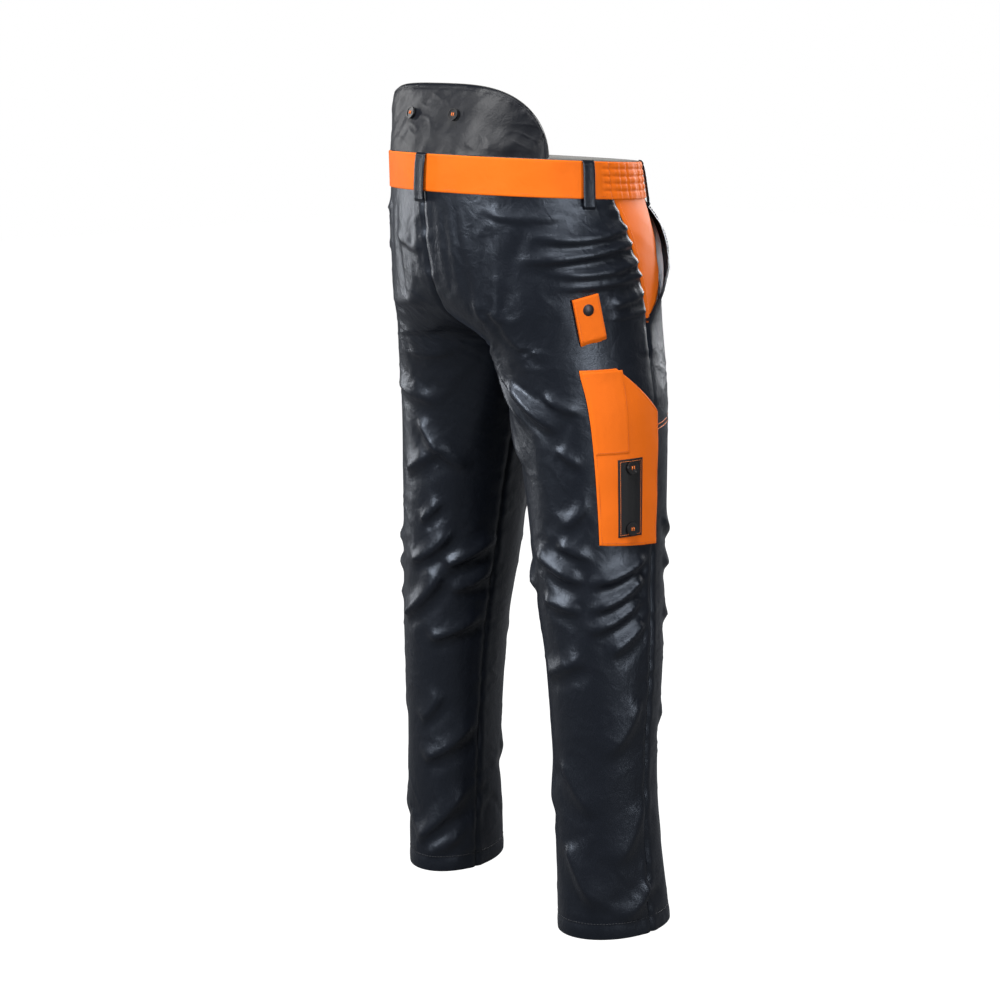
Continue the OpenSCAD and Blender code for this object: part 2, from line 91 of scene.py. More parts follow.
HALF_DEPTHS = [(0, WAIST[1]), (WAISTBAND, WAIST[1] + 3), (110, 179), (150, 178), (205, 167), (RISE, 140),
               (340, 121), (450, 108), (KNEE, 96), (700, 85), (850, 74), (960, 77), (HEM, 83)]
CENTRE_YS = [(0, 0), (110, -12), (205, -22), (340, -32), (KNEE, -28), (850, -24), (HEM, -35)]
OUTER_WIDTHS = [(0, WAIST[0]), (WAISTBAND, WAIST[0] + 2), (110, 198), (RISE, 202), (340, 216), (450, 221),
                (KNEE, KNEE_SPREAD + 80), (700, 230), (850, 226), (HEM, HEM_SPREAD + HEM_HALF_WIDTH)]
LEG_CENTRES = [(RISE, 99), (340, 117), (450, 133), (KNEE, KNEE_SPREAD), (700, 156), (850, 160),
               (HEM, HEM_SPREAD)]


def curve(rows, d):
    """A smooth curve through rows of (drop, value)."""
    x, y = np.array(rows, float).T
    before, after = np.maximum(np.arange(len(x)) - 1, 0), np.minimum(np.arange(len(x)) + 1, len(x) - 1)
    slopes = (y[after] - y[before]) / (x[after] - x[before])
    i = np.clip(np.searchsorted(x, d, side="right") - 1, 0, len(x) - 2)
    span = x[i + 1] - x[i]
    t = np.clip((d - x[i]) / span, 0, 1)
    return ((2 * t**3 - 3 * t**2 + 1) * y[i] + (t**3 - 2 * t**2 + t) * span * slopes[i]
            + (3 * t**2 - 2 * t**3) * y[i + 1] + (t**3 - t**2) * span * slopes[i + 1])


def smooth(t):
    t = np.clip(t, 0, 1)
    return t * t * (3 - 2 * t)


def leg_x(d):
    parting = 99 * np.clip((d - FORK) / (RISE - FORK), 0, 1) ** 1.5
    return np.where(d < RISE, parting, curve(LEG_CENTRES, d))


def half_width(d):
    return curve(OUTER_WIDTHS, d) - leg_x(d)


def half_depth(d):
    return curve(HALF_DEPTHS, d)


def below_rise(d):
    return np.clip((d - RISE) / (HEM - RISE), 0, 1)


def seam_angle(d):
    return np.degrees(np.arcsin(np.clip(leg_x(d) / half_width(d), 0, 1))) * (d < RISE) + 90.0 * (d >= RISE)


def back_end(d):
    return -seam_angle(d) + 20 * below_rise(d)


def front_end(d):
    return 180 + seam_angle(d) + 20 * below_rise(d)


def outseam(d):
    return np.interp(d, [WAISTBAND, POCKET_TIP, HEM], [93, 108, 106])


def pocket_mouth(d):
    return np.interp(d, [WAISTBAND, 140, 200, POCKET_TIP], [138, 131, 118, 108])


def front_start(d):
    return np.where(d < POCKET_TIP, pocket_mouth(d), outseam(d))


def dip(a, d):
    return WAIST_DIP * (1 - np.cos(a)) / 2 * np.clip((190 - d) / (190 - WAISTBAND), 0, 1)


def on_body(side, angle, d, off=0.0):
    """Points of the body surface in metres. side is 1 for the wearer's left and -1 for the right."""
    a = np.radians(angle)
    turn = np.radians(TOE_OUT * below_rise(d))
    x, y = (half_width(d) + off) * np.sin(a), (half_depth(d) + off) * np.cos(a)
    return np.stack([side * (leg_x(d) + x * np.cos(turn) - y * np.sin(turn)),
                     curve(CENTRE_YS, d) + x * np.sin(turn) + y * np.cos(turn), -d - dip(a, d)], -1) * MM


def grid_normals(points, side):
    """Outward normals of a grid. Its rows run down and its columns run from the back round to the front."""
    down = np.gradient(points, axis=0)
    along = np.gradient(points, axis=1)
    n = np.cross(along, down) * side
    return n / np.maximum(np.linalg.norm(n, axis=-1, keepdims=True), 1e-12)


def unit(v):
    return v / np.linalg.norm(v, axis=-1, keepdims=True)


# ---- Materials ----

def node_material(name, colour, roughness):
    m = bpy.data.materials.new(name)
    m.use_nodes = True
    shader = m.node_tree.nodes["Principled BSDF"]
    shader.inputs["Base Color"].default_value = (*colour, 1)
    shader.inputs["Roughness"].default_value = roughness
    return m, m.node_tree, shader


def add_node(tree, kind, **values):
    """A node with the given properties and inputs. A socket given as a value is linked to the input."""
    n = tree.nodes.new(kind)
    for key, value in values.items():
        if hasattr(n, key):
            setattr(n, key, value)
            continue
        socket = n.inputs[key.replace("_", " ")]
        if isinstance(value, bpy.types.NodeSocket):
            tree.links.new(value, socket)
        else:
            socket.default_value = value
    return n


def math_node(tree, operation, *values):
    n = add_node(tree, "ShaderNodeMath", operation=operation)
    for socket, value in zip(n.inputs, values):
        if isinstance(value, (int, float)):
            socket.default_value = value
        else:
            tree.links.new(value, socket)
    return n.outputs[0]


def noise_node(tree, place, scale, detail, roughness, distortion=0.0):
    return add_node(tree, "ShaderNodeTexNoise", Vector=place, Scale=scale, Detail=detail, Roughness=roughness,
                    Distortion=distortion).outputs[0]


def bump_node(tree, height, strength, distance, **under):
    return add_node(tree, "ShaderNodeBump", Height=height, Strength=strength, Distance=distance,
                    **under).outputs[0]


def mix_colour(tree, factor, a, b):
    n = add_node(tree, "ShaderNodeMix", data_type="RGBA")
    tree.links.new(factor, n.inputs[0])
    for socket, value in ((n.inputs[6], a), (n.inputs[7], b)):
        if isinstance(value, tuple):
            socket.default_value = (*value, 1)
        else:
            tree.links.new(value, socket)
    return n.outputs[2]


def tone(colour, factor):
    return tuple(min(c * factor, 1) for c in colour)


def fabric(name, colour, roughness, thread=0.55, twill=1.0, bump=0.25, mottle=0.12, sheen=0.0,
           sheen_tint=(1, 1, 1), creases=0.0, specular=0.5):
    """Woven cloth. thread is the pitch of its threads in millimetres, twill slants the weave, mottle varies its
    tone at random.
    """
    m, tree, shader = node_material(name, colour, roughness)
    link = tree.links.new
    uv = add_node(tree, "ShaderNodeUVMap", uv_map="cloth").outputs[0]
    u, v, _ = add_node(tree, "ShaderNodeSeparateXYZ", Vector=uv).outputs
    pitch = 2 * math.pi / (thread * MM)
    warp = math_node(tree, "SINE", math_node(tree, "MULTIPLY", u, pitch))
    slant = math_node(tree, "ADD", math_node(tree, "MULTIPLY", u, pitch * 0.5 * twill),
                      math_node(tree, "MULTIPLY", v, pitch * 0.5))
    weave = math_node(tree, "MULTIPLY_ADD", warp, 0.35, math_node(tree, "SINE", slant))
    slub = noise_node(tree, uv, 900, 2, 0.6)
    normal = bump_node(tree, math_node(tree, "MULTIPLY_ADD", slub, 1.2, weave), bump, 0.00012)
    if creases:
        normal = bump_node(tree, noise_node(tree, uv, 55, 3, 0.55, 0.6), creases, 0.004, Normal=normal)
    link(normal, shader.inputs["Normal"])
    cloud = noise_node(tree, uv, 14, 4, 0.6)
    shade = mix_colour(tree, cloud, tone(colour, 1 - mottle), tone(colour, 1 + mottle))
    # The base colour is painted darker in the weave's hollows, where its bump is low: painted shade on the
    # weave.
    weave_hollow_shade = math_node(tree, "MULTIPLY_ADD", weave, 0.12, 0.5)
    link(mix_colour(tree, weave_hollow_shade, tone(colour, 0.82), shade), shader.inputs["Base Color"])
    link(math_node(tree, "MULTIPLY_ADD", cloud, 0.12, roughness - 0.06), shader.inputs["Roughness"])
    shader.inputs["Specular IOR Level"].default_value = specular
    shader.inputs["Sheen Weight"].default_value = sheen
    shader.inputs["Sheen Roughness"].default_value = 0.45
    shader.inputs["Sheen Tint"].default_value = (*sheen_tint, 1)
    return m


def hard_material(name, colour, roughness, marks, wear, metallic=0.0):
    """Metal or plastic. marks are its noise's scale, detail and roughness, and wear how much they show."""
    m, tree, shader = node_material(name, colour, roughness)
    place = tree.nodes.new("ShaderNodeTexCoord").outputs["Object"]
    link = tree.links.new
    pattern = noise_node(tree, place, *marks)
    link(math_node(tree, "MULTIPLY_ADD", pattern, wear, roughness - wear / 2), shader.inputs["Roughness"])
    link(bump_node(tree, pattern, wear / 2, 0.0001), shader.inputs["Normal"])
    if metallic:
        shader.inputs["Metallic"].default_value = metallic
        link(mix_colour(tree, pattern, tone(colour, 0.6), tone(colour, 1.5)), shader.inputs["Base Color"])
    return m


BLACK = (0.0024, 0.0033, 0.0062)
SATIN_WEAVE = {"thread": 0.5, "bump": 0.14, "mottle": 0.2, "sheen": 0.02, "sheen_tint": (0.55, 0.68, 1.0),
               "creases": 0.22}
THREAD_TWIST = {"thread": 0.35, "bump": 0.4}
SATIN = fabric("black_satin", BLACK, 0.38, specular=0.55, **SATIN_WEAVE)
SATIN.node_tree.nodes["Principled BSDF"].inputs["Specular Tint"].default_value = (0.74, 0.84, 1.0, 1)
FLAP_SATIN = fabric("flap_satin", BLACK, 0.46, specular=0.32, **SATIN_WEAVE)
PLAIN_BLACK = fabric("black_webbing", (0.005, 0.0055, 0.007), 0.55, thread=0.9, twill=0, bump=0.5, sheen=0.02,
                     sheen_tint=(0.6, 0.7, 0.9), specular=0.3)
ORANGE = fabric("orange_twill", (0.74, 0.135, 0.002), 0.65, thread=0.8, bump=0.45, mottle=0.06, sheen=0.06,
                sheen_tint=(1, 0.5, 0.2), creases=0.14, specular=0.2)
LINING = fabric("grey_lining", (0.24, 0.235, 0.225), 0.75, thread=0.9, twill=0, bump=0.5)
POCKETING = fabric("pale_pocketing", (0.62, 0.66, 0.72), 0.8, thread=0.8, bump=0.4, mottle=0.05)
PADDING = fabric("cut_pad_knit", (0.72, 0.68, 0.55), 0.85, thread=2.4, twill=0, bump=0.8, mottle=0.1)
ELASTIC = fabric("elastic_web", (0.72, 0.72, 0.70), 0.7, thread=1.6, twill=0, bump=0.8)
THREAD = fabric("orange_thread", (0.95, 0.22, 0.03), 0.5, **THREAD_TWIST)
POCKET_THREAD = fabric("dark_orange_thread", (0.50, 0.09, 0.01), 0.6, **THREAD_TWIST)
DARK_THREAD = fabric("black_thread", (0.02, 0.022, 0.028), 0.5, **THREAD_TWIST)
BUTTON = hard_material("button_resin", (0.006, 0.006, 0.007), 0.42, (400, 3, 0.6), 0.2)
METAL = hard_material("gunmetal", (0.045, 0.04, 0.045), 0.45, (700, 4, 0.7), 0.3, 0.9)


# ---- Mesh building ----

def add_object(name, data):
    thing = bpy.data.objects.new(name, data)
    bpy.context.scene.collection.objects.link(thing)
    return thing


def quads(k):
    """The four-sided faces between the rows and columns of a grid of vertex numbers."""
    return np.stack([k[:-1, :-1], k[1:, :-1], k[1:, 1:], k[:-1, 1:]], -1).reshape(-1, 4)


def mesh_piece(name, points, faces, material, uv, normals=None):
    mesh = bpy.data.meshes.new(name)
    mesh.from_pydata([tuple(p) for p in points], [], [tuple(int(i) for i in f) for f in faces])
    mesh.update()
    mesh.shade_smooth()
    corner = np.zeros(len(mesh.loops), np.int32)
    mesh.loops.foreach_get("vertex_index", corner)
    mesh.uv_layers.new(name="cloth").data.foreach_set("uv", np.asarray(uv, np.float32)[corner].ravel())
    if normals is not None:
        mesh.normals_split_custom_set_from_vertices([tuple(v) for v in normals])
    mesh.materials.append(material)
    piece = add_object(name, mesh)
    return piece


def sheet(name, outer, side, thickness, material, nodes=(), uv=None, normals=None):
    """A closed sheet of cloth from a grid of outer points in metres, in place of the CAD nodes. Its thickness is
    in millimetres and goes inward."""
    if normals is None:
        normals = grid_normals(outer, side)
    if uv is None:
        across = np.linalg.norm(np.diff(outer, axis=1), axis=2).mean(0)
        downward = np.linalg.norm(np.diff(outer, axis=0), axis=2).mean(1)
        uv = np.stack(np.meshgrid(np.cumsum([0, *across]), np.cumsum([0, *downward])), -1)
    points = np.concatenate([outer.reshape(-1, 3), (outer - normals * (thickness * MM)).reshape(-1, 3)])
    n = outer.shape[0] * outer.shape[1]
    k = np.arange(n).reshape(outer.shape[:2])
    face = quads(k)
    edge = [np.stack([line[:-1], line[1:], line[1:] + n, line[:-1] + n], -1)
            for line in (k[0], k[-1][::-1], k[::-1, 0], k[:, -1])]
    faces = np.concatenate([face, face[:, ::-1] + n] + edge)
    if side > 0:
        faces = faces[:, ::-1]
    both = np.concatenate([normals.reshape(-1, 3), -normals.reshape(-1, 3)])
    piece = mesh_piece(name, points, faces, material, np.concatenate([uv.reshape(-1, 2)] * 2), both)
    if nodes:
        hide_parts(*nodes)
    return piece


def refine(grid):
    """Doubles a grid's rows and columns with a smooth curve through its points."""
    for axis in (0, 1):
        g = np.moveaxis(grid, axis, 0)
        padded = np.concatenate([2 * g[:1] - g[1:2], g, 2 * g[-1:] - g[-2:-1]])
        middle = (-padded[:-3] + 9 * padded[1:-2] + 9 * padded[2:-1] - padded[3:]) / 16
        out = np.zeros((2 * len(g) - 1,) + g.shape[1:])
        out[::2], out[1::2] = g, middle
        grid = np.moveaxis(out, 0, axis)
    return grid


def soften(grid, passes):
    """Averages a grid's points with their neighbours, and leaves its border in place."""
    g = grid.copy()
    for _ in range(passes):
        g[1:-1, 1:-1] = (g[1:-1, 1:-1] * 2 + g[:-2, 1:-1] + g[2:, 1:-1] + g[1:-1, :-2] + g[1:-1, 2:]) / 6
    return g


# ---- The skin: one cloth for seat and legs, folded by simulation ----

COLUMNS = 34             # columns in each back panel, and in each front panel
SIDES = {"left": 1, "right": -1}
PANELS = ("back", "front")


def row_drops():
    """Rows about 8.4 mm apart that meet the pocket's tip, the crotch, the cut and the hem."""
    stops = [(WAISTBAND, 22), (POCKET_TIP, 6), (RISE, 27), (CUT, 67), (HEM, 0)]
    parts = [np.linspace(a, b, n, endpoint=False) for (a, n), (b, _) in zip(stops, stops[1:])]
    return np.concatenate(parts + [[HEM]])


DROPS = row_drops()
CUT_ROW = int(np.argmin(abs(DROPS - CUT)))


def panel_angles(panel, d, columns=COLUMNS):
    start, end = (back_end(d), outseam(d)) if panel == "back" else (front_start(d), front_end(d))
    return start[:, None] + (end - start)[:, None] * np.linspace(0, 1, columns + 1)


def reach(angle, d):
    """Rough distance round the leg or hip in millimetres, from the outer side."""
    return np.radians(angle - 90) * (half_width(d) + half_depth(d)) / 2


# Folds that lie in the cloth when it hangs, each a ridge with a valley below it: the (angle, drop) where it
# starts, the one where it ends, half its width and its height.
HIP_FOLDS = [
    ((111, 68), (62, 60), 6, 2.6), ((104, 86), (44, 106), 6, 4.2), ((105, 112), (38, 142), 6.5, 5.0),
    ((107, 137), (48, 154), 6.5, 4.8), ((107, 162), (50, 178), 6.5, 4.8), ((108, 189), (56, 198), 6, 4.2),
    ((113, 216), (70, 223), 5, 3.2), ((30, 78), (70, 70), 6, 2.0),
]
FRONT_FOLDS = [
    ((150, 250), (236, 232), 9, 4.0), ((140, 300), (240, 262), 9, 3.6), ((168, 470), (236, 540), 10, 3.6),
    ((122, 500), (190, 548), 9, 3.6), ((124, 560), (226, 590), 10, 4.2), ((130, 630), (220, 650), 10, 3.8),
    ((134, 760), (220, 820), 13, 3.0), ((240, 880), (150, 950), 13, 3.0), ((150, 690), (232, 726), 10, 3.0),
    ((200, 210), (168, 262), 8, 2.6),
]
LEG_FOLDS = {
    "right": [
        ((-28, 245), (28, 378), 8, 6.0), ((20, 202), (34, 280), 9, 4.2), ((-8, 310), (32, 374), 7, 5.6),
        ((22, 325), (50, 345), 6, 4.0), ((26, 394), (47, 420), 6, 3.4), ((-42, 275), (5, 374), 7, 4.4),
        ((-62, 330), (-8, 436), 9, 4.4), ((14, 196), (4, 250), 7, 2.6),
        ((-8, 538), (47, 574), 8, 6.2), ((100, 543), (43, 575), 8, 6.4), ((-2, 600), (42, 611), 7, 5.2),
        ((98, 569), (40, 612), 8, 6.2), ((20, 522), (55, 542), 7, 4.2), ((94, 600), (36, 640), 8, 5.2),
        ((-14, 708), (44, 668), 9, 4.4), ((53, 460), (22, 503), 7, 3.2), ((98, 632), (58, 672), 8, 4.2),
        ((-56, 566), (-10, 592), 8, 4.6), ((8, 928), (54, 1022), 12, 4.6), ((95, 733), (50, 814), 12, 3.6),
        ((2, 818), (52, 894), 12, 3.2), ((110, 984), (70, 1038), 9, 4.4), ((-60, 840), (-10, 900), 12, 3.0),
        ((101, 876), (62, 962), 12, 3.0),
    ],
    "left": [
        ((12, 258), (-24, 232), 8, 4.6), ((4, 291), (-44, 276), 8, 4.6), ((24, 116), (0, 134), 7, 2.6),
        ((34, 216), (-4, 200), 9, 3.4), ((18, 472), (-34, 417), 10, 4.8), ((-2, 390), (-54, 464), 9, 4.6),
        ((32, 340), (-30, 362), 10, 3.6), ((26, 690), (-34, 599), 9, 6.4), ((-30, 604), (-84, 561), 8, 6.0),
        ((11, 604), (-42, 543), 8, 5.6), ((-14, 714), (-78, 675), 8, 5.2), ((-37, 639), (-82, 606), 7, 4.8),
        ((-6, 540), (-30, 503), 6, 4.6), ((0, 894), (-73, 825), 10, 5.0), ((11, 1017), (-65, 927), 10, 4.8),
        ((0, 837), (-30, 785), 8, 3.8), ((-4, 1035), (-53, 1002), 7, 3.6), ((98, 548), (30, 580), 8, 5.4),
        ((96, 590), (34, 624), 8, 5.4), ((96, 640), (40, 668), 8, 4.4), ((90, 300), (40, 352), 9, 3.4),
        ((100, 770), (40, 840), 12, 3.2), ((96, 930), (30, 985), 12, 3.2),
    ],
}


def folds(name, angle, d, tightness=1.0, crispness=2.0):
    """How far the folds stand off the body surface, in millimetres."""
    height = np.zeros(np.broadcast(angle, d).shape)
    for index, ((a0, d0), (a1, d1), width, rise) in enumerate(HIP_FOLDS + FRONT_FOLDS + LEG_FOLDS[name]):
        x0, x1 = reach(a0, np.float64(d0)), reach(a1, np.float64(d1))
        length = math.hypot(x1 - x0, d1 - d0)
        ux, uy = (x1 - x0) / length, (d1 - d0) / length
        flip = -1 if ux < 0 else 1
        x = reach(angle, d)
        t = ((x - x0) * ux + (d - d0) * uy) / length
        bow = 0.07 * length * np.sin(math.pi * np.clip(t, 0, 1)) * (1 if index % 2 else 0.4)
        away = ((d - d0) * ux - (x - x0) * uy) * flip - bow
        fade = smooth(t / 0.16) * smooth((1 - t) / 0.32)
        narrow = width / tightness * (1 + 0.5 * np.clip(t, 0, 1))
        crest = np.where(away < 0, np.exp(-abs(away / (1.5 * narrow)) ** crispness),
                         np.exp(-abs(away / (0.75 * narrow)) ** crispness))
        height += 0.9 * rise * (crest - 0.5 * np.exp(-((away - 1.7 * narrow) / (0.8 * narrow)) ** 2)) * fade
    return height


def ease_crotch(points, d):
    """Rounds the change from seat to leg, and keeps the centre seam in the middle."""
    share = 0.5 * np.exp(-((d - RISE) / 30) ** 2)[1:-1, :, None]
    for _ in range(26):
        middle = (points[:-2] + points[2:]) / 2
        points[1:-1] += share * (middle - points[1:-1])
    return points


def pocket_gape(angle, d):
    """The slash pocket's front edge bows away from the hip."""
    along = np.clip((d - 56) / (POCKET_TIP - 56), 0, 1)
    back = reach(angle, d) - reach(front_start(d), d)
    return 19 * np.sin(math.pi * along**0.85) * np.exp(-(back / 34) ** 2) * (d < POCKET_TIP)


def held_flat(side, angle, d):
    """1 where the cloth is held on the body surface: the waist, the fly and, on the right, the patches."""
    waist = smooth((76 - d) / 20)
    fly = smooth((40 - abs(np.radians(180 - angle)) * 180) / 24) * smooth((225 - d) / 40)
    held = np.maximum(waist, fly)
    if side < 0:
        pocket = (smooth((angle - 42) / 9) * smooth((121 - angle) / 9)
                  * smooth((d - 268) / 18) * smooth((548 - d) / 18))
        loop = (smooth((angle - 52) / 6) * smooth((86 - angle) / 6)
                * smooth((d - 178) / 10) * smooth((266 - d) / 10))
        held = np.maximum(held, np.maximum(pocket, loop))
    return held


def growth(d):
    """How much longer the cloth is than the body it hangs on, so that it folds."""
    return np.interp(d, [49, 90, 230, 330, 480, 540, 690, 760, 1000, HEM],
                     [0.0, 0.022, 0.025, 0.022, 0.025, 0.045, 0.04, 0.022, 0.02, 0.0])


def rest_points(side, angle, d, start):
    """The cloth's own shape: longer, a little wider and twisted against the shape that it starts from."""
    steps = np.linspace(WAISTBAND, HEM, 400)
    gain = np.interp(d, steps, np.concatenate([[0], np.cumsum(growth(steps[1:]) * np.diff(steps))]))
    p = start / MM
    centre_x = side * leg_x(d) * smooth((d - RISE) / 60)
    centre_y = curve(CENTRE_YS, d)
    wide = 1 + np.interp(d, [49, 90, 200, 500, 620, 900, HEM], [0, 0.003, 0.004, 0.004, 0.006, 0.004, 0.0])
    twist = np.radians(side * np.interp(d, [RISE, 420, 520, 640, 760, HEM], [0, 5, 1, -5, 1, 0]))
    x, y = (p[..., 0] - centre_x) * wide, (p[..., 1] - centre_y) * wide
    return np.stack([centre_x + x * np.cos(twist) - y * np.sin(twist),
                     centre_y + x * np.sin(twist) + y * np.cos(twist), p[..., 2] - gain], -1) * MM


def cloth_grids():
    """The four panels' grids before simulation, each with its angles."""
    grids = {}
    for name, side in SIDES.items():
        for panel in PANELS:
            a = panel_angles(panel, DROPS)
            d = np.repeat(DROPS[:, None], a.shape[1], 1)
            off = folds(name, a, d) * (1 - held_flat(side, a, d)) * smooth((HEM - d) / 40)
            if panel == "front":
                off = off + pocket_gape(a, d)
            points = ease_crotch(on_body(side, a, d, off), d)
            points[DROPS <= RISE, 0 if panel == "back" else -1, 0] = 0.0
            grids[name, panel] = (a, d, points)
    return grids


def pins(side, panel, angle, d):
    """How firmly each point is held while the cloth settles, from 0 to 1."""
    held = 0.015 + 0.85 * held_flat(side, angle, d)
    edge = (outseam(d) - angle if panel == "back" else angle - front_start(d)) < 0.1
    held[(d <= WAISTBAND + 9) | (d >= HEM - 1) | (edge & (d <= POCKET_TIP))] = 1.0
    if panel == "front":
        held = np.maximum(held, np.clip(pocket_gape(angle, d) / 6, 0, 0.8))
    return held


def collider():
    """The body and its padding, which the cloth can't sink into."""
    points, faces = [], []
    for side in SIDES.values():
        a, d = np.meshgrid(np.linspace(-180, 180, 73)[:-1], DROPS)
        p = on_body(side, a, d, -5.0)
        p[..., 0] = np.where(d < RISE, side * np.maximum(side * p[..., 0], 0.0), p[..., 0])
        k = np.arange(a.size).reshape(a.shape) + len(points)
        q = quads(np.concatenate([k, k[:, :1]], 1))
        faces += (q[:, ::-1] if side > 0 else q).tolist()
        points += p.reshape(-1, 3).tolist()
    mesh = bpy.data.meshes.new("body_sim")
    mesh.from_pydata(points, [], faces)
    body = add_object("body_sim", mesh)
    body.modifiers.new("collision", "COLLISION")
    body.collision.thickness_outer = 0.001
    body.collision.cloth_friction = 12
    return body


CLOTH_SETTINGS = {
    "quality": 6, "mass": 0.2, "tension_stiffness": 30, "compression_stiffness": 30, "shear_stiffness": 14,
    "bending_stiffness": 0.9, "tension_damping": 12, "compression_damping": 12, "shear_damping": 12,
    "air_damping": 2.5, "vertex_group_mass": "held", "pin_stiffness": 1.0,
}
FRAMES = 24              # how long the cloth settles
CLOTH_GRAVITY = 0.05     # the folds come from the cloth's extra length, not from its weight


def simulate(grids):
    """Lets the cloth settle over the body, and returns the four grids as they come to rest."""
    parts = [(SIDES[name], panel, *grid) for (name, panel), grid in grids.items()]
    base = np.concatenate([on_body(side, a, d).reshape(-1, 3) for side, _, a, d, _ in parts])
    start = np.concatenate([points.reshape(-1, 3) for *_, points in parts])
    rest = np.concatenate([rest_points(side, a, d, points).reshape(-1, 3) for side, _, a, d, points in parts])
    held = np.concatenate([pins(side, panel, a, d).ravel() for side, panel, a, d, _ in parts])
    _, first, welded = np.unique(np.round(base * 1e5 + 0.31).astype(np.int64), axis=0, return_index=True,
                                 return_inverse=True)
    welded = welded.ravel()
    shapes = [g[0].shape for g in grids.values()]
    offsets = np.cumsum([0] + [rows * cols for rows, cols in shapes])
    faces = []
    for shape, offset in zip(shapes, offsets):
        numbers = np.arange(shape[0] * shape[1]).reshape(shape) + offset
        faces += [tuple(dict.fromkeys(welded[q].tolist())) for q in quads(numbers)]
    mesh = bpy.data.meshes.new("cloth_sim")
    mesh.from_pydata(start[first].tolist(), [], [f for f in faces if len(f) > 2])
    cloth = add_object("cloth_sim", mesh)
    cloth.shape_key_add(name="Basis")
    longer = cloth.shape_key_add(name="longer")
    longer.data.foreach_set("co", rest[first].astype(np.float32).ravel())
    group = cloth.vertex_groups.new(name="held")
    strength = np.zeros(len(first))
    np.maximum.at(strength, welded, held)
    for index, weight in enumerate(strength):
        group.add([index], float(weight), "REPLACE")
    body = collider()
    modifier = cloth.modifiers.new("cloth", "CLOTH")
    for key, value in CLOTH_SETTINGS.items():
        setattr(modifier.settings, key, value)
    modifier.settings.effector_weights.gravity = CLOTH_GRAVITY
    modifier.settings.rest_shape_key = longer
    modifier.collision_settings.distance_min = 0.002
    modifier.collision_settings.collision_quality = 2
    scene = bpy.context.scene
    for timed in (modifier.point_cache, scene):
        timed.frame_start, timed.frame_end = 1, FRAMES
    for f in range(1, FRAMES + 1):
        scene.frame_set(f)
    settled = cloth.evaluated_get(bpy.context.evaluated_depsgraph_get())
    co = np.zeros(len(first) * 3, np.float32)
    settled.data.vertices.foreach_get("co", co)
    result = np.split(co.reshape(-1, 3).astype(float)[welded], offsets[1:-1])
    scene.frame_set(1)
    for o in (cloth, body):
        bpy.data.objects.remove(o)
    return {k: part.reshape(*shape, 3) for k, part, shape in zip(grids, result, shapes)}


PANEL_GRIDS = cloth_grids()
CLOTH = simulate(PANEL_GRIDS)
CLOTH_NORMALS = {k: grid_normals(soften(g, 2), SIDES[k[0]]) for k, g in CLOTH.items()}


# ---- Placing pieces on the skin and on the body surface ----

def sample(grid, row, col):
    """Bilinear samples of a grid at fractional rows and columns."""
    row = np.clip(row, 0, grid.shape[0] - 1.001)
    col = np.clip(col, 0, grid.shape[1] - 1.001)
    i, j = row.astype(int), col.astype(int)
    fi, fj = (row - i)[..., None], (col - j)[..., None]
    return ((grid[i, j] * (1 - fj) + grid[i, j + 1] * fj) * (1 - fi)
            + (grid[i + 1, j] * (1 - fj) + grid[i + 1, j + 1] * fj) * fi)


def on_skin(name, angle, d, off=0.0):
    """Points and outward normals of the folded cloth. off is outward, in millimetres."""
    angle, d, off = np.broadcast_arrays(*(np.asarray(v, float) for v in (angle, d, off)))
    row = np.interp(d, DROPS, np.arange(len(DROPS)))
    back = (angle - back_end(d)) / (outseam(d) - back_end(d)) * COLUMNS
    front = (angle - front_start(d)) / (front_end(d) - front_start(d)) * COLUMNS
    on_back = (angle <= outseam(d))[..., None]
    point, normal = (np.where(on_back, sample(grids[name, "back"], row, back),
                              sample(grids[name, "front"], row, front)) for grids in (CLOTH, CLOTH_NORMALS))
    normal = unit(normal)
    return point + normal * off[..., None] * MM, normal


def edged(count, length, edge=1.3):
    """Steps from 0 to 1 with a narrow first and last one, so that a piece can round off at its edges."""
    e = edge / length
    return np.concatenate([[0], np.linspace(e, 1 - e, count), [1]])


def edge_drop(shape, depth):
    """How far a patch's outermost points sink, which turns its edges down."""
    off = np.full(shape, -float(depth))
    off[1:-1, 1:-1] = 0.0
    return off


def patch(name, side_name, start, end, top, bottom, off, thickness, material, node, count, sink, width,
          relief=None, slope=0.0):
    """A patch sewn on the skin. start and end give its side edges as angles at each drop."""
    u, v = np.meshgrid(edged(count[0], width), edged(count[1], bottom - top))
    d = top + (bottom - top) * v
    a = start(d) + (end(d) - start(d)) * u
    d = d + slope * (u - 0.4) * v
    lift = off + edge_drop(u.shape, sink)
    if relief:
        lift = lift + relief(u, a, d)
    return sheet(name, on_skin(side_name, a, d, lift)[0], SIDES[side_name], thickness, material, [node])


def ripple(x, y, size, seed):
    """Smooth waves of about the given size, between about -1 and 1."""
    rng = np.random.default_rng(seed)
    total = 0
    for _ in range(7):
        heading, phase, stretch = rng.uniform(0, math.pi), rng.uniform(0, 2 * math.pi), rng.uniform(0.6, 1.5)
        total = total + np.sin(2 * math.pi / (size * stretch)
                               * (x * math.cos(heading) + y * math.sin(heading)) + phase)
    return total / 3.5


def puckers(along, seed, size=11.0):
    """Uneven gathers along a seam, between -1 and 1. along is a distance in millimetres."""
    rng = np.random.default_rng(seed)
    grid = np.arange(-50, 1300, size)
    return np.interp(along, grid, rng.uniform(-1, 1, len(grid)) * np.where(np.arange(len(grid)) % 2, 1, -1))


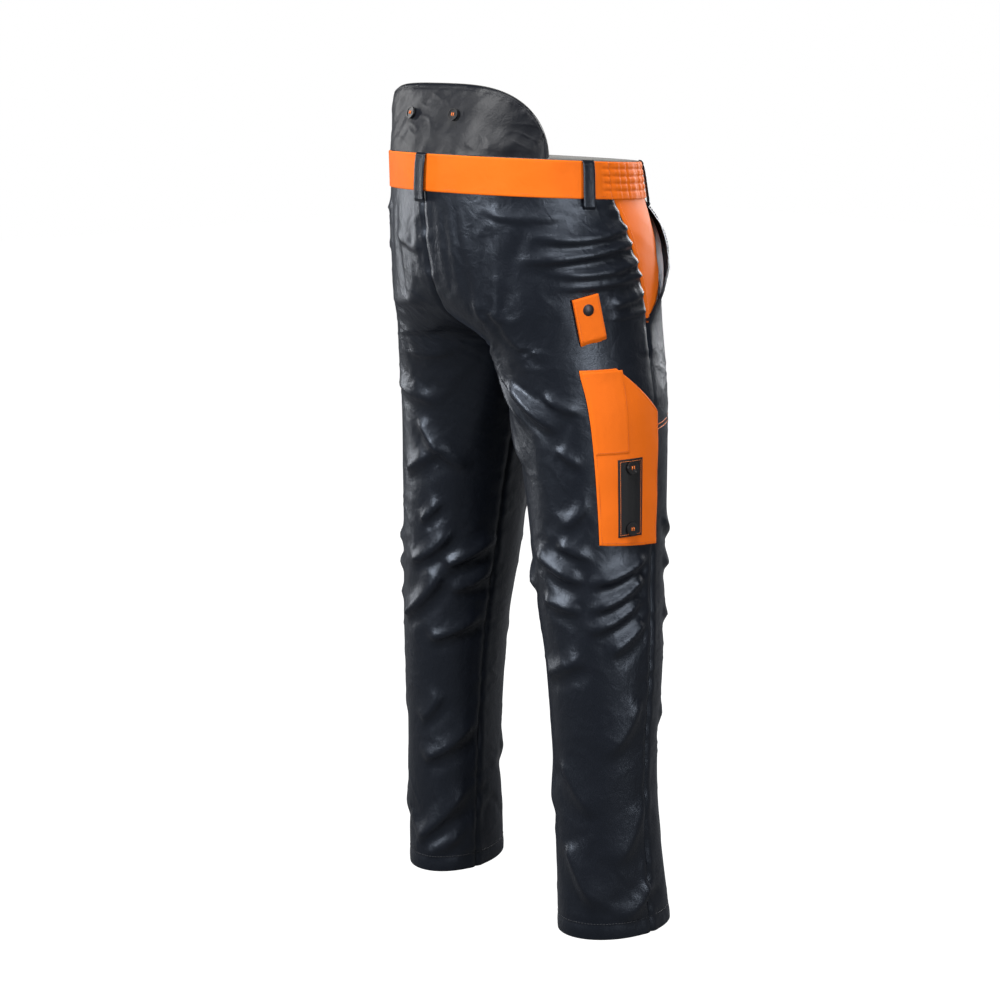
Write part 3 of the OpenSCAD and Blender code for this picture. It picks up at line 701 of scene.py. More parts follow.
# One stitch is four rings of six points: how far along it each ring lies and how much of the radius it has.
RING_ALONG = np.repeat([-0.5, -0.36, 0.36, 0.5], 6)
RING_SWELL = np.repeat([0.3, 1.0, 1.0, 0.3], 6)
RING_TURN = np.tile(np.arange(6) * math.pi / 3, 4)
STITCH_FACES = [(r + q, r + (q + 1) % 6, r + 6 + (q + 1) % 6, r + 6 + q)
                for r in (0, 6, 12) for q in range(6)]
STITCH_FACES += [tuple(range(5, -1, -1)), tuple(range(18, 24))]
STITCH_DEPTH = 0.2       # how far a stitch sinks into the cloth


def stitches(name, paths, material, pitch=4.2, length=3.2, radius=0.42):
    """Stitches along lines of (points, normals) in metres. The other lengths are in millimetres."""
    points, uvs = [], []
    for line, up in paths:
        s = np.cumsum([0, *np.linalg.norm(np.diff(line, axis=0), axis=1)])
        count = int(s[-1] / (pitch * MM))
        at = (np.arange(count) + 0.5) * s[-1] / count
        half = length * MM / 2
        here, ahead, behind, n = (
            np.stack([np.interp(where, s, values[:, i]) for i in range(3)], -1)
            for where, values in ((at, line), (at + half, line), (at - half, line), (at, up)))
        t = unit(ahead - behind)
        n = unit(n - t * (n * t).sum(1, keepdims=True))
        here, t, n, b = (w[:, None] for w in (here, t, n, np.cross(t, n)))
        ring = n * np.cos(RING_TURN)[:, None] + b * np.sin(RING_TURN)[:, None]
        shape = (here + t * (RING_ALONG * length * MM)[:, None] + ring * (RING_SWELL * radius * MM)[:, None]
                 - n * STITCH_DEPTH * MM)
        points.append(shape.reshape(-1, 3))
        along = RING_ALONG * length * MM + 0.004 * np.arange(count)[:, None]
        uvs.append(np.stack([along, along * 0 + RING_TURN * radius * MM], -1).reshape(-1, 2))
    points = np.concatenate(points)
    faces = [[base + i for i in face]
             for base in range(0, len(points), len(RING_TURN)) for face in STITCH_FACES]
    return mesh_piece(name, points, faces, material, np.concatenate(uvs))


def between(angles, drops, count):
    """Evenly spaced angles and drops along a line through the given ones."""
    t, keys = np.linspace(0, len(angles) - 1, count), np.arange(len(angles))
    return np.interp(t, keys, angles), np.interp(t, keys, drops)


def skin_line(name, angles, drops, off=0.35, count=240):
    """A line on the skin through (angle, drop) points, as points and normals."""
    return on_skin(name, *between(angles, drops, count), off)


def body_line(side, angles, drops, off, count):
    """A line on the body surface through (angle, drop) points, as points and normals."""
    a, d = between(angles, drops, count)
    point = on_body(side, a, d, off)
    return point, unit(on_body(side, a, d, off + 1) - point)


def with_hip(piece, name):
    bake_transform(piece)


def with_knee(piece, name):
    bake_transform(piece)


FOLLOW = {"upper": with_hip, "lower": with_knee}


def on_hips(*pieces):
    for piece in pieces:
        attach(piece, "hips")


# ---- Shell: back and front panels of each leg ----

def trim_fly(grid, drops, side):
    """Ends the front panel beside the zip, instead of at centre front, over the length of the fly."""
    limit = {1: FLY_SLOT[1], -1: -FLY_SLOT[0]}[side] * MM
    out = grid.copy()
    steps = np.arange(grid.shape[1])
    half = len(steps) // 2
    for r in np.flatnonzero((drops > FLY[0]) & (drops < FLY[1])):
        last = np.interp(-limit, -grid[r, half:, 0] * side, steps[half:])
        t = np.linspace(0, last, len(steps))
        out[r] = np.stack([np.interp(t, steps, grid[r, :, i]) for i in range(3)], -1)
    return out


def seam_relief(panel, angle, d, seed):
    """The valley at each seam, the roll beside it and the puckers across it, in millimetres."""
    total = np.zeros(angle.shape)
    ends = (back_end(d), outseam(d)) if panel == "back" else (front_end(d), front_start(d))
    for k, end in enumerate(ends):
        away = abs(reach(angle, d) - reach(end, d))
        total += -2.0 * np.exp(-(away / 2.4) ** 2) + 0.7 * np.exp(-((away - 7) / 4) ** 2)
        total += 1.3 * puckers(d, 77 + k) * np.exp(-((away - 4) / 10) ** 2)
    total += -0.9 * np.exp(-((HEM - 21 - d) / 3) ** 2) + 0.5 * np.exp(-((HEM - 9 - d) / 7) ** 2)
    gathers = smooth((angle - 70) / 20) + 0.35
    total += 0.8 * gathers * puckers(reach(angle, d) + 600, seed + 9, 8) * np.exp(-np.maximum(d - 52, 0) / 12)
    return total * smooth((d - 44) / 10)


def creases(across, down, seed):
    """Small sharp creases between the folds, in millimetres."""
    bend = 14 * ripple(across, down, 150, seed + 3)
    lines = np.exp(-abs(ripple(across * 0.55, down + bend, 46, seed + 5)) * 5.5)
    return 0.9 * lines * smooth(0.5 + ripple(across, down, 130, seed + 6))


def close_centre(grid, panel, drops):
    """Brings the edge of the centre seam back to the middle plane after the relief has moved it."""
    edge = 0 if panel == "back" else grid.shape[1] - 1
    share = np.exp(-abs(np.arange(grid.shape[1]) - edge) / 2.5)
    held = smooth((RISE + 8 - drops) / 8)
    grid[..., 0] -= (grid[:, edge, 0] * held)[:, None] * share
    return grid


def sided(name, nodes):
    return [f"{node}_{name}" for node in nodes.split()]


SHELL_NODES = {("back", "upper"): "seat_panel hip_bend thigh_back", ("back", "lower"): "knee_bend shin_back",
               ("front", "upper"): "front_panel thigh_front", ("front", "lower"): "shin_front"}


def shell_panel(name, panel):
    side = SIDES[name]
    grid = refine(CLOTH[name, panel])
    drops = np.interp(np.arange(grid.shape[0]) / 2, np.arange(len(DROPS)), DROPS)
    angle = panel_angles(panel, drops, grid.shape[1] - 1)
    d = np.repeat(drops[:, None], grid.shape[1], 1)
    seed = 20 + 7 * PANELS.index(panel) + (0 if side > 0 else 31)
    flat = held_flat(side, angle, d)
    relief = seam_relief(panel, angle, d, seed) * (1 - 0.7 * flat * (d > 80))
    relief += ((0.6 * folds(name, angle, d, 1.9, 1.3) + creases(reach(angle, d), d, seed))
               * (1 - flat) * smooth((HEM - 24 - d) / 30))
    grid = close_centre(grid + grid_normals(grid, side) * relief[..., None] * MM, panel, drops)
    if panel == "front":
        grid = trim_fly(grid, drops, side)
    normals = grid_normals(grid, side)
    across = np.cumsum([0, *np.linalg.norm(np.diff(grid[len(grid) // 3], axis=0), axis=1)])
    uv = np.stack([np.repeat(across[None, :], len(grid), 0), (d - WAISTBAND) * MM], -1)
    for part, rows in (("upper", slice(0, 2 * CUT_ROW + 1)), ("lower", slice(2 * CUT_ROW, None))):
        piece = sheet(f"{panel}_{part}_{name}", grid[rows], side, 1.2, SATIN,
                      sided(name, SHELL_NODES[panel, part]), uv[rows], normals[rows])
        FOLLOW[part](piece, name)


# ---- Cut pads, lining and turned hems ----

PAD_OFF, PAD_THICKNESS = -7.0, 5.4
LINING_OFF = -14.0


def layer_seam(d, off):
    """Angle past the back or front at which an inner layer meets the centre seam."""
    ratio = leg_x(d) / np.maximum(half_width(d) + off, 1)
    return np.where(d < RISE, np.degrees(np.arcsin(np.clip(ratio, 0, 1))), 90.0)


def inner_layers(label, name, start, end, parts, off, thickness, material, count, wave, seed):
    """One layer inside the shell, in the parts given, above and below the cut."""
    for part, top, bottom, nodes in parts:
        u, v = np.meshgrid(np.linspace(0, 1, count[0]), np.linspace(0, 1, count[1]))
        d = top + (bottom - top) * v
        a = start(d) + (end(d) - start(d)) * u
        lift = off + wave * ripple(reach(a, d), d, 60, seed)
        piece = sheet(f"{label}_{part}_{name}", on_body(SIDES[name], a, d, lift), SIDES[name], thickness,
                      material, nodes)
        FOLLOW[part](piece, name)


def linings(name):
    turn_in = lambda d: 20 * below_rise(d)
    start = lambda d: -layer_seam(d, LINING_OFF) + turn_in(d) + 0.3
    end = lambda d: np.where(d < FLY[1] + 8, 180 - np.degrees(np.arcsin(33 / (half_width(d) + LINING_OFF))),
                             180 + layer_seam(d, LINING_OFF) + turn_in(d) - 0.3)
    parts = (("upper", WAISTBAND - 6, CUT, ["hips_lining", f"thigh_lining_{name}"]),
             ("lower", CUT, HEM - 18, [f"shin_lining_{name}"]))
    inner_layers("lining", name, start, end, parts, LINING_OFF, 1.0, LINING, (60, 90), 0.8, 3)


def pads(name):
    start = lambda d: outseam(d) - 8
    end = lambda d: 180 + layer_seam(d, PAD_OFF - PAD_THICKNESS) + 20 * below_rise(d) - 14
    parts = (("upper", 205, CUT, sided(name, "hip_pad thigh_pad")),
             ("lower", CUT, HEM - 50, sided(name, "knee_pad shin_pad")))
    inner_layers("cut_pad", name, start, end, parts, PAD_OFF, PAD_THICKNESS, PADDING, (30, 60), 0.3, 5)


def hem(name):
    """The cloth turned up inside the leg's end, and the stitches that hold it."""
    side = SIDES[name]
    u, v = np.meshgrid(np.linspace(0, 1, 120), np.linspace(0, 1, 6))
    d = HEM - 22 + 21.4 * v
    turned = sheet(f"hem_turnup_{name}", on_body(side, back_end(d) + 360 * u, d, -3.6), side, 1.2, SATIN)
    with_knee(turned, name)
    lines = [skin_line(name, ends, [HEM - 21, HEM - 21], 0.0)
             for ends in ([back_end(HEM) + 1, outseam(HEM) - 1], [outseam(HEM) + 1, front_end(HEM) - 1])]
    with_knee(stitches(f"hem_stitches_{name}", lines, DARK_THREAD), name)


# ---- Waist ----

GATHER = (89, 137)       # angles between which the waistband is elastic


def gathered(angle):
    return smooth((angle - GATHER[0] + 5) / 5) * smooth((GATHER[1] - angle) / 5)


def elastic_puckers(angle):
    return puckers(np.radians(angle) * 185, 41, 4.5)


def waistband(name):
    side = SIDES[name]
    drops = np.concatenate([[0, 0.5, 1.6], np.arange(3.5, 49, 1.6), [49.6, 51, 51.6]])
    edge = np.interp(drops, [0, 0.5, 1.6, 3.5, 25, 47, 49.6, 51, 51.6],
                     [-1.4, -0.5, 0, 0, 0.2, 0, 0, -0.3, -1.0])
    a, d = np.meshgrid(np.linspace(0.05, 179.95, 560), drops)
    ruffle = gathered(a) * elastic_puckers(a) * (0.45 + 0.75 * np.sin(math.pi * d / 51.6))
    rows = sum(np.exp(-((d - drop) / 1.6) ** 2) for drop in (10, 20, 30, 40))
    ruffle = ruffle * (1 - 0.45 * rows) - 0.7 * rows * gathered(a)
    off = 1.9 + edge[:, None] + ruffle * 1.7 + 0.35 * ripple(np.radians(a) * 185, d, 45, 17)
    band = on_body(side, a, d, off)
    on_hips(sheet(f"waistband_band_{name}", band, side, 1.5, ORANGE, [f"waistband_{name}"]))
    return [body_line(side, [1, 179], [drop, drop], 1.75, 900) for drop in (3.0, 47.5)]


def waist_inside():
    drops = np.array([0.2, 0.8, 2, 4, 8, 16, 26, 36, 46, 52])
    depth = np.array([0.1, -1.2, -2.8, -4.0, -4.4, -4.6, -4.6, -4.6, -4.8, -5.0])
    for name, side in SIDES.items():
        a, d = np.meshgrid(np.linspace(0.05, 179.95, 260), drops)
        facing = on_body(side, a, d, depth[:, None] + gathered(a) * 0.5 * elastic_puckers(a))
        a, d = np.meshgrid(np.linspace(*GATHER, 160), np.linspace(6, 44, 14))
        elastic = on_body(side, a, d, -2.2 + 0.4 * elastic_puckers(a))
        on_hips(sheet(f"waist_facing_{name}", facing, side, 0.9, LINING, ["waistband_facing"]),
                sheet(f"elastic_{name}", elastic, side, 1.0, ELASTIC, ["side_elastics"]))


BELT_LOOPS = {"centre": (1, 0.0), "side_left": (1, 78.0), "side_right": (-1, 78.0), "front_left": (1, 141.0),
              "front_right": (-1, 141.0)}
BELT_LOOP_LENGTH = 68
BELT_LOOP_SLANT = 2.2    # degrees of angle between a belt loop's two ends


def belt_loops():
    """Folded straps over the waistband, sewn down at both ends."""
    lines = []
    half = math.degrees(9.5 / WAIST[0])
    for label, (side, angle) in BELT_LOOPS.items():
        slant = lambda v: BELT_LOOP_SLANT * (v - 0.5) * (-1 if angle else 1)
        u, v = np.meshgrid(edged(8, 19, 0.8), np.linspace(0, 1, 40))
        ends = 1 - abs(2 * v - 1) ** 4
        fold = 1.3 * (np.exp(-((v - 0.94) / 0.035) ** 2) + np.exp(-((v - 0.05) / 0.03) ** 2))
        off = 3.3 + 4.2 * ends + fold + edge_drop(u.shape, 0.6) * 0.8 + 0.25 * np.cos(2 * math.pi * u)
        strap = on_body(side, angle - half + 2 * half * u + slant(v), -1.5 + BELT_LOOP_LENGTH * v, off)
        on_hips(sheet(f"belt_loop_{label}", strap, side, 1.7, SATIN, ["belt_loops"]))
        for drop, lift in ((5.0, 5.9), (61.5, 5.6)):
            middle = angle + slant((drop + 1.5) / BELT_LOOP_LENGTH)
            lines.append(body_line(side, [middle - half * 0.8, middle + half * 0.8], [drop, drop], lift, 20))
    on_hips(stitches("belt_loop_stitches", lines, DARK_THREAD, 1.6, 2.2, 0.4))


def slash_pockets():
    """The orange facing that shows in each pocket's mouth, and the pale bag inside the pocket."""
    u, v = np.meshgrid(edged(16, 60), np.linspace(0, 1, 60))
    d = 48 + (POCKET_TIP + 2 - 48) * v
    start = outseam(d) + 0.1
    a = start + (pocket_mouth(d) + 9 * (1 - v) + 2 - start) * u
    off = -0.6 + 0.5 * ripple(reach(a, d), d, 50, 23) * np.sin(math.pi * v)
    off = off - (1 - smooth((a - start) / 1.5)) + 1.6 * np.sin(math.pi * v) * u**2
    mouth = pocket_mouth(d) + 7
    drops = np.linspace(54, POCKET_TIP - 4, 60)
    for name, side in SIDES.items():
        facing = on_body(side, a, d, off)
        on_hips(sheet(f"pocket_facing_{name}", facing, side, 1.3, ORANGE, ["pocket_facings"]))
        back_layer = on_body(side, start + 2 + (160 - start) * u, d, -3.6 - 2 * u)
        front_layer, _ = on_skin(name, mouth + (160 - mouth) * u, d, -2.2 - 1.2 * u)
        for part, layer in (("back", back_layer), ("front", front_layer)):
            on_hips(sheet(f"pocket_bag_{part}_{name}", layer, side, 0.5, POCKETING, ["pocket_bags"]))
        edge = [on_skin(name, pocket_mouth(drops) + inset, drops, 0.1) for inset in (1.2, 4.2)]
        seam = on_body(side, outseam(drops) + 2.2, drops, -0.2), np.array([[side, 0.0, 0.0]] * len(drops))
        on_hips(stitches(f"pocket_edge_stitches_{name}", edge, DARK_THREAD),
                stitches(f"pocket_facing_stitches_{name}", [seam], THREAD))


# ---- Kidney flap ----

FLAP_ARC = math.radians(FLAP_HALF_ANGLE) * WAIST[0]      # half the flap's width, measured round the waist


def flap_point(across, h, off):
    a = np.radians(across * FLAP_HALF_ANGLE)
    lean = 32 * h / FLAP_HEIGHT * np.cos(a) ** 4
    return np.stack([(WAIST[0] + off) * np.sin(a), (WAIST[1] + off - lean) * np.cos(a),
                     h - WAIST_DIP * (1 - np.cos(a)) / 2], -1) * MM


def flap_top(across):
    return FLAP_HEIGHT * np.sqrt(np.maximum(1 - across**4, 0))


def with_flap(piece):
    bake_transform(piece)


def kidney_flap():
    across, v = np.meshgrid(-np.cos(np.linspace(0.02, math.pi - 0.02, 150)),
                            1 - np.concatenate([[0, 0.012, 0.03], np.linspace(0.06, 1, 44)]))
    top = np.maximum(flap_top(across), 2.5)
    h = 0.8 + (top - 0.8) * v
    rim = np.minimum(top - h, (1 - abs(across)) * 140)
    roll = np.exp(-np.maximum(rim, 0) / 1.6)
    arc = across * FLAP_ARC
    dents = 1.9 * ripple(arc, h * 1.3, 80, 61) + 0.7 * ripple(arc, h, 34, 62) + creases(arc, h, 64)
    dents = dents * smooth(rim / 22) * smooth(h / 22)
    base = 2.0 * puckers(arc + 300, 63, 12) * np.exp(-h / 9) * smooth(rim / 12)
    stitched = -0.9 * np.exp(-((rim - 5) / 1.6) ** 2) + 0.5 * np.exp(-((rim - 2.6) / 1.4) ** 2)
    edge_waves = 1.1 * puckers(arc + h + 300, 65, 7) * np.exp(-((rim - 6) / 6) ** 2)
    outer = flap_point(across, h, -0.6 + dents + base + stitched + edge_waves - 3.4 * roll)
    foam = flap_point(across * 0.965, np.clip(h * 0.95, 1, None), -5.0 + 0.3 * dents)
    inner = flap_point(across, h, -7.9 + 0.3 * dents + 3.9 * roll)
    uv = np.stack([arc, h], -1) * MM
    with_flap(sheet("flap_cloth", outer, 1, 1.2, FLAP_SATIN, ["kidney_flap_outer"], uv))
    with_flap(sheet("flap_foam_core", foam, 1, 1.8, PADDING, ["kidney_flap_foam"], uv))
    with_flap(sheet("flap_inner_cloth", inner, 1, 1.0, LINING, ["kidney_flap_lining"], uv))
    t = np.linspace(-0.985, 0.985, 600)
    line = np.stack([t * FLAP_ARC, flap_top(t)], -1)
    tangent = unit(np.gradient(line, axis=0))
    line = line + 5.0 * np.stack([tangent[:, 1], -tangent[:, 0]], -1)
    x, y = line[line[:, 1] > 3].T
    point = flap_point(x / FLAP_ARC, y, -0.9)
    rim_line = point, unit(flap_point(x / FLAP_ARC, y, 1.0) - point)
    with_flap(stitches("flap_rim_stitches", [rim_line], DARK_THREAD))


# ---- Closure at the front ----

FLY_BOTTOM = -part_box("fly_facing")[0].z / MM


def on_front(x, d, off):
    """A point on the front, measured across from centre front in millimetres."""
    inside = np.sqrt(np.maximum(1 - ((abs(x) - leg_x(d)) / (half_width(d) + off)) ** 2, 0))
    y = curve(CENTRE_YS, d) - (half_depth(d) + off) * inside
    return np.stack([x + 0 * d, y, -d - dip(math.pi, d)], -1) * MM


def fly_edge(d):
    """How far to the wearer's left the fly facing reaches, which turns in towards its end."""
    return 36 * np.sqrt(np.maximum(1 - smooth((d - 150) / (FLY_BOTTOM - 150)) ** 2 * 0.9, 0))


def fly():
    top = FLY[0]
    u, v = np.meshgrid(edged(14, 42), edged(44, FLY_BOTTOM - top))
    d = top + (FLY_BOTTOM - top) * v
    x = fly_edge(d) + (-6 - fly_edge(d)) * u
    off = 2.9 + edge_drop(u.shape, 0.7) + 0.3 * ripple(x, d, 40, 71)
    facing = sheet("fly_front", on_front(x, d, off), 1, 1.2, SATIN, ["fly_facing"])
    u, v = np.meshgrid(np.linspace(0, 1, 24), np.linspace(0, 1, 40))
    under = on_front(30 - 60 * u, top + (FLY_BOTTOM - 4 - top) * v, -16.3)
    on_hips(sheet("fly_under_shield", under, 1, 1.2, SATIN, ["fly_shield"]))
    drops = np.linspace(top + 3, FLY_BOTTOM - 3, 160)
    out = np.array([[0.1, -1.0, 0.0]] * len(drops))
    lines = [(on_front(fly_edge(drops) - inset, drops, 3.05), out) for inset in (4.5, 9)]
    for piece in (facing, stitches("fly_stitches", lines, THREAD)):
        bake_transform(piece)


def tab():
    u, v = np.meshgrid(edged(30, 78), edged(14, 43))
    pointed = 7 * smooth((u - 0.8) / 0.2) ** 2
    a = 168 + 24 * u
    d = 3 + pointed + (43 - 2 * pointed) * v
    off = 4.3 + edge_drop(u.shape, 0.6) + 0.25 * ripple(np.radians(a) * 180, d, 30, 77)
    band = sheet("waist_tab_band", on_body(1, a, d, off), 1, 1.1, ORANGE, ["waist_tab"])
    lines = [body_line(1, [168.6, 186.5, 191], [drop, drop, drop + bend], 4.4, 120)
             for drop, bend in ((6.4, 6), (42.6, -6))]
    for piece in (band, stitches("waist_tab_stitches", lines, THREAD)):
        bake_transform(piece)


# ---- Tool pocket and snap loop on the right leg ----

POCKET = (288, 526)      # drops of the tool pocket's top and bottom
CORNER = 352             # drop at which its cut corner ends
POCKET_FRONT = 111       # angle of its front edge
POCKET_SLOPE = 8         # how much lower its front corner hangs than its back corner
INSET = 2.0              # degrees of angle between an edge and its stitches
FINE_STITCHES = (3.2, 2.5, 0.34)


def pocket_back(d):
    return 52 + 4.5 * (d - POCKET[0]) / (POCKET[1] - POCKET[0])


def pocket_front(d):
    slant = 77 + (POCKET_FRONT - 77) * (d - POCKET[0]) / (CORNER - POCKET[0])
    return np.where(d < CORNER, slant, POCKET_FRONT)


def tool_pocket():
    gape = lambda u, a, d: (1.6 * np.exp(-(d - POCKET[0]) / 9) * np.sin(math.pi * u)
                            + 0.35 * ripple(reach(a, d), d, 70, 81))
    body = patch("tool_pocket_cloth", "right", pocket_back, pocket_front, *POCKET, 2.2, 1.3, ORANGE,
                 "tool_pocket", (40, 90), 0.8, 90, gape, POCKET_SLOPE)
    rule = patch("rule_pocket_cloth", "right", lambda d: pocket_back(d) + 1.2, lambda d: 81 + 0 * d,
                 POCKET[0] + 3, 402, 3.3, 1.0, ORANGE, "rule_pocket", (20, 50), 0.7, 48, gape)
    label = patch("plain_patch", "right", lambda d: 71.5 + 0 * d, lambda d: 92.5 + 0 * d, 410, 514, 3.5, 1.1,
                  PLAIN_BLACK, "name_patch", (18, 50), 0.6, 38)
    edge = np.linspace(POCKET[0] + 3, POCKET[1] - 3, 240)
    rule_edge = np.linspace(POCKET[0] + 6, 399, 100)
    foot = POCKET[1] - 3.5
    lines = [on_skin("right", pocket_back(edge) + INSET, edge, 2.35),
             on_skin("right", pocket_front(edge) - INSET, edge, 2.35),
             skin_line("right", [pocket_back(POCKET[1]) + INSET, POCKET_FRONT - INSET],
                       [foot - 0.4 * POCKET_SLOPE, foot + 0.6 * POCKET_SLOPE], 2.35),
             skin_line("right", [pocket_back(POCKET[0]) + INSET, 76], [POCKET[0] + 11] * 2, 3.4),
             on_skin("right", 80.2, rule_edge, 3.4),
             skin_line("right", [pocket_back(400) + 2.2, 80.2], [399.5] * 2, 3.4)]
    border = skin_line("right", [73.3, 90.7, 90.7, 73.3, 73.3], [413, 413, 511, 511, 413], 3.6)
    for piece in (stitches("tool_pocket_stitches", lines, POCKET_THREAD, *FINE_STITCHES),
                  stitches("plain_patch_stitches", [border], THREAD, 3.0, 2.4, 0.32),
                  body, rule, label, copy_node("patch_buttons", "patch_button_pair")):
        with_hip(piece, "right")


THREAD_SPAN = 0.008      # a loose part smaller than this in a button node is thread


def copy_node(node, name):
    """A new piece with a CAD node's shape, for a hard piece that has to follow the cloth under it."""
    piece = add_object(name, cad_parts[node].data.copy())
    piece.data.materials.clear()
    for material in (BUTTON, THREAD):
        piece.data.materials.append(material)
    work = bmesh.new()
    work.from_mesh(piece.data)
    bmesh.ops.remove_doubles(work, verts=work.verts, dist=1e-6)
    waiting = set(work.faces)
    while waiting:
        island, front = set(), [waiting.pop()]
        while front:
            face = front.pop()
            island.add(face)
            near = {f for edge in face.edges for f in edge.link_faces} & waiting
            waiting -= near
            front += near
        heights = [v.co.z for face in island for v in face.verts]
        for face in island:
            face.material_index = int(max(heights) - min(heights) < THREAD_SPAN)
    work.to_mesh(piece.data)
    work.free()
    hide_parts(node)
    return piece


LOOP_PLACE = (68, 221)   # angle and drop of the snap loop's middle
LOOP_SIZE = (38, 64)
LOOP_TILT = math.radians(-12)
LOOP_STAND = 1.6         # height of the strap above the body surface
LOOP_SPACE = 3.4         # room between the strap and the flap
LOOP_FOLD = LOOP_SPACE - 1.2


def at_loop(x, y, h):
    """A point beside the snap loop's middle: x towards the back, y up and h outward, in millimetres."""
    a, d = LOOP_PLACE
    spot = lambda angle, drop: on_body(1, angle, np.float64(drop), LOOP_STAND)
    along = spot(a + 1, d) - spot(a - 1, d)
    ex, ez = -unit(along), unit(np.cross(spot(a, d - 1) - spot(a, d + 1), along))
    ey = np.cross(ez, ex)
    c, s = math.cos(LOOP_TILT), math.sin(LOOP_TILT)
    p = (spot(a, d) / MM + (x * c - y * s)[..., None] * ex + (x * s + y * c)[..., None] * ey
         + h[..., None] * ez)
    return p * np.array([-1, 1, 1]) * MM


def snap_loop():
    u, v = np.meshgrid(edged(18, LOOP_SIZE[0]), edged(34, LOOP_SIZE[1]))
    x, y = LOOP_SIZE[0] * (0.5 - u), LOOP_SIZE[1] * (0.5 - v)
    bend = lambda y: LOOP_FOLD * smooth((-y - 26) / 6)
    round_off = edge_drop(u.shape, 0.5) - (x / 19) ** 2 * 0.7
    wave = 0.8 * np.sin(x / 4.2) * np.exp(-((y + 32) / 6) ** 2)
    on_hips(sheet("loop_back_strap", at_loop(x, y, 0.9 + round_off), -1, 1.1, ORANGE, ["loop_strap"]))
    lift = LOOP_SPACE + 1.15 + round_off - bend(y) + wave * 0.5
    flap = sheet("loop_front_strap", at_loop(x, y + wave, lift), -1, 1.1, ORANGE, ["loop_flap"])
    ys = np.linspace(-27, 29, 60)
    lines = []
    for sx in (-16.4, 16.4):
        at = at_loop(sx + 0 * ys, ys, LOOP_SPACE + 0.75 - bend(ys))
        lines.append((at, unit(at_loop(sx + 0 * ys, ys, LOOP_SPACE + 2 + 0 * ys) - at)))
    for piece in (flap, stitches("loop_front_stitches", lines, POCKET_THREAD, 3.2, 2.4, 0.3)):
        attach(piece, "loop_flap")


# ---- Orange topstitching across the front of each thigh ----

def thigh_topstitch(name):
    angles = [112, 140, 180, 220, front_end(370) - 3]
    lines = [skin_line(name, angles, [drop - rise for rise in (0, 6, 12, 8, 4)], 0.25, 400)
             for drop in (372, 378)]
    with_hip(stitches(f"thigh_topstitch_{name}", lines, THREAD, 4.0, 3.3, 0.5), name)


# ---- Everything together ----

band_lines = []
for side_name in SIDES:
    for panel_name in PANELS:
        shell_panel(side_name, panel_name)
    linings(side_name)
    pads(side_name)
    hem(side_name)
    thigh_topstitch(side_name)
    band_lines += waistband(side_name)
on_hips(stitches("waistband_stitches", band_lines, POCKET_THREAD, 3.4, 2.6, 0.32))
for build in (waist_inside, belt_loops, slash_pockets, kidney_flap, fly, tab, tool_pocket, snap_loop):
    build()

HARD_PARTS = {
    BUTTON: "flap_brace_buttons front_brace_buttons",
    THREAD: "flap_button_threads front_button_threads",
    PLAIN_BLACK: "zip_tapes",
    METAL: "zip_teeth zip_slider zip_puller waist_snap_cap waist_snap_stud loop_snap_cap loop_snap_stud",
}
for finish, hard_nodes in HARD_PARTS.items():
    for node_name in hard_nodes.split():
        for node_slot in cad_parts[node_name].material_slots:
            node_slot.material = finish

# ---- Stage ----

CENTRE = Vector((0, 0, -0.49))
WHITE = (1, 1, 1, 1)


def area_light(name, place, size, power):
    light = add_object(name, bpy.data.lights.new(name, "AREA"))
    light.data.shape = "RECTANGLE"
    light.data.size, light.data.size_y = size
    light.data.energy = power
    light.location = place
    light.rotation_euler = (CENTRE - light.location).to_track_quat("-Z", "Y").to_euler()


area_light("key", (0.1, 2.9, 0.9), (0.9, 1.2), 112)
area_light("side", (-2.9, 0.3, 0.2), (0.4, 1.7), 50)
area_light("top", (-0.9, 1.0, 2.2), (1.1, 1.1), 80)
area_light("left_rim", (2.4, 0.9, 0.0), (0.3, 1.8), 34)
area_light("front", (0.3, -2.9, 0.5), (1.4, 1.6), 90)


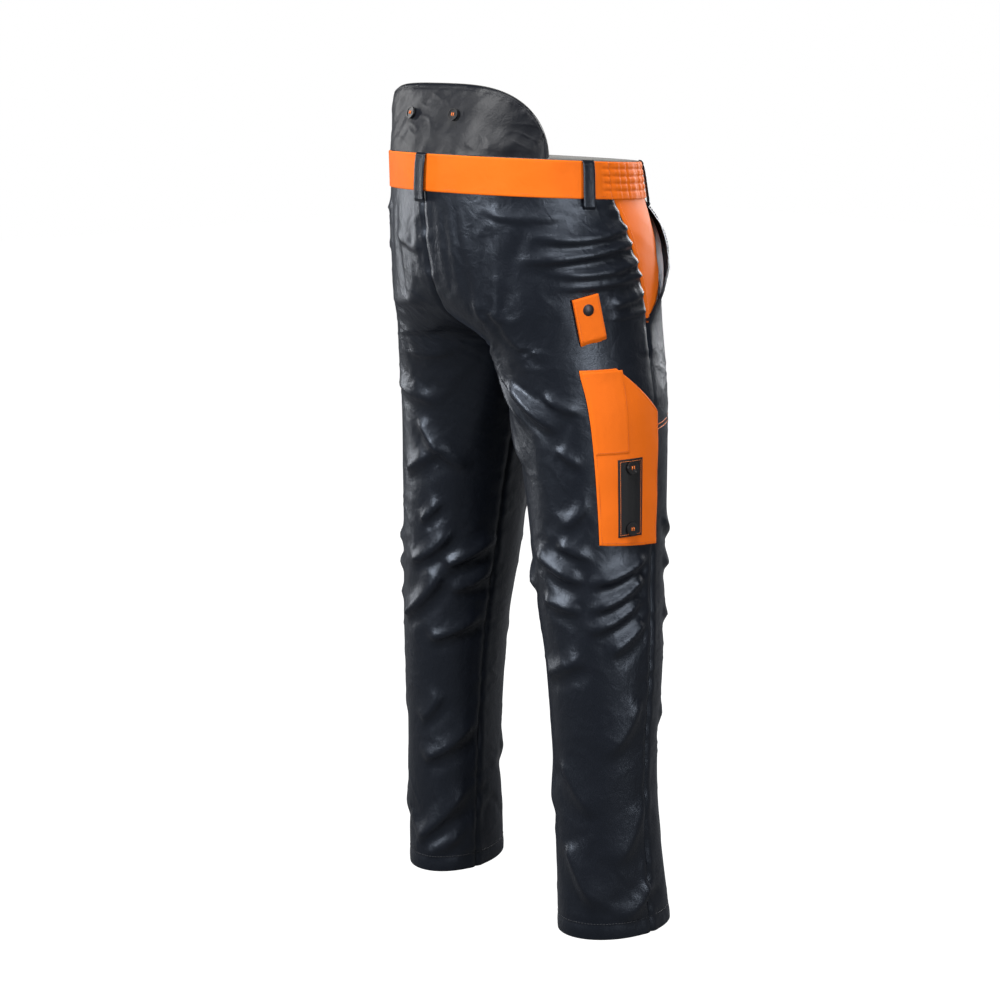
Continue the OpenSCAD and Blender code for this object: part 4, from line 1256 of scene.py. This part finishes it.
def lower_lens(viewer, amount):
    """Shifts a level camera's lens, so that upright lines stay upright. A camera that is moved loses it."""
    shift = viewer.data.driver_add("shift_y")
    for modifier in list(shift.modifiers):
        shift.modifiers.remove(modifier)
    shift.driver.type = "SUM"
    for axis in ("LOC_X", "LOC_Z"):
        place = shift.driver.variables.new()
        place.type = "TRANSFORMS"
        place.targets[0].id = viewer
        place.targets[0].transform_type = axis
    for step, value in ((-0.03, 0), (0, amount), (0.03, 0)):
        key = shift.keyframe_points.insert(viewer.location.x + viewer.location.z + step, value)
        key.interpolation = "LINEAR"


camera = add_object("camera", bpy.data.cameras.new("camera"))
camera.location = (-2.296, 2.068, 0.170)
camera.rotation_euler = (math.radians(90), 0, math.radians(228.37))
camera.data.sensor_width = 36
camera.data.lens = 78.26
lower_lens(camera, -0.471)
bpy.context.scene.camera = camera

# The background is dim as a light and white to the camera.
world = bpy.data.worlds.new("studio")
world.use_nodes = True
backdrop = world.node_tree.nodes["Background"]
backdrop.inputs[0].default_value = WHITE
backdrop.inputs[1].default_value = 0.05
bright = add_node(world.node_tree, "ShaderNodeBackground", Color=WHITE, Strength=1.0)
seen = add_node(world.node_tree, "ShaderNodeLightPath").outputs["Is Camera Ray"]
either = add_node(world.node_tree, "ShaderNodeMixShader", Fac=seen)
world.node_tree.links.new(backdrop.outputs[0], either.inputs[1])
world.node_tree.links.new(bright.outputs[0], either.inputs[2])
world.node_tree.links.new(either.outputs[0], world.node_tree.nodes["World Output"].inputs[0])
bpy.context.scene.world = world
bpy.context.scene.view_settings.view_transform = "Standard"

floor_mesh = bpy.data.meshes.new("floor")
floor_mesh.from_pydata([(x, y, cad_low[2] - 0.0005) for x, y in ((-9, -9), (9, -9), (9, 9), (-9, 9))], [],
                       [(0, 1, 2, 3)])
floor_paint, floor_tree, floor_shader = node_material("pale_floor", (0.12, 0.12, 0.12), 0.9)
floor_shader.inputs["Specular IOR Level"].default_value = 0.0
floor_shader.inputs["Emission Color"].default_value = WHITE
floor_seen = add_node(floor_tree, "ShaderNodeLightPath").outputs["Is Camera Ray"]
floor_tree.links.new(floor_seen, floor_shader.inputs["Emission Strength"])
floor_mesh.materials.append(floor_paint)
add_object("floor", floor_mesh)
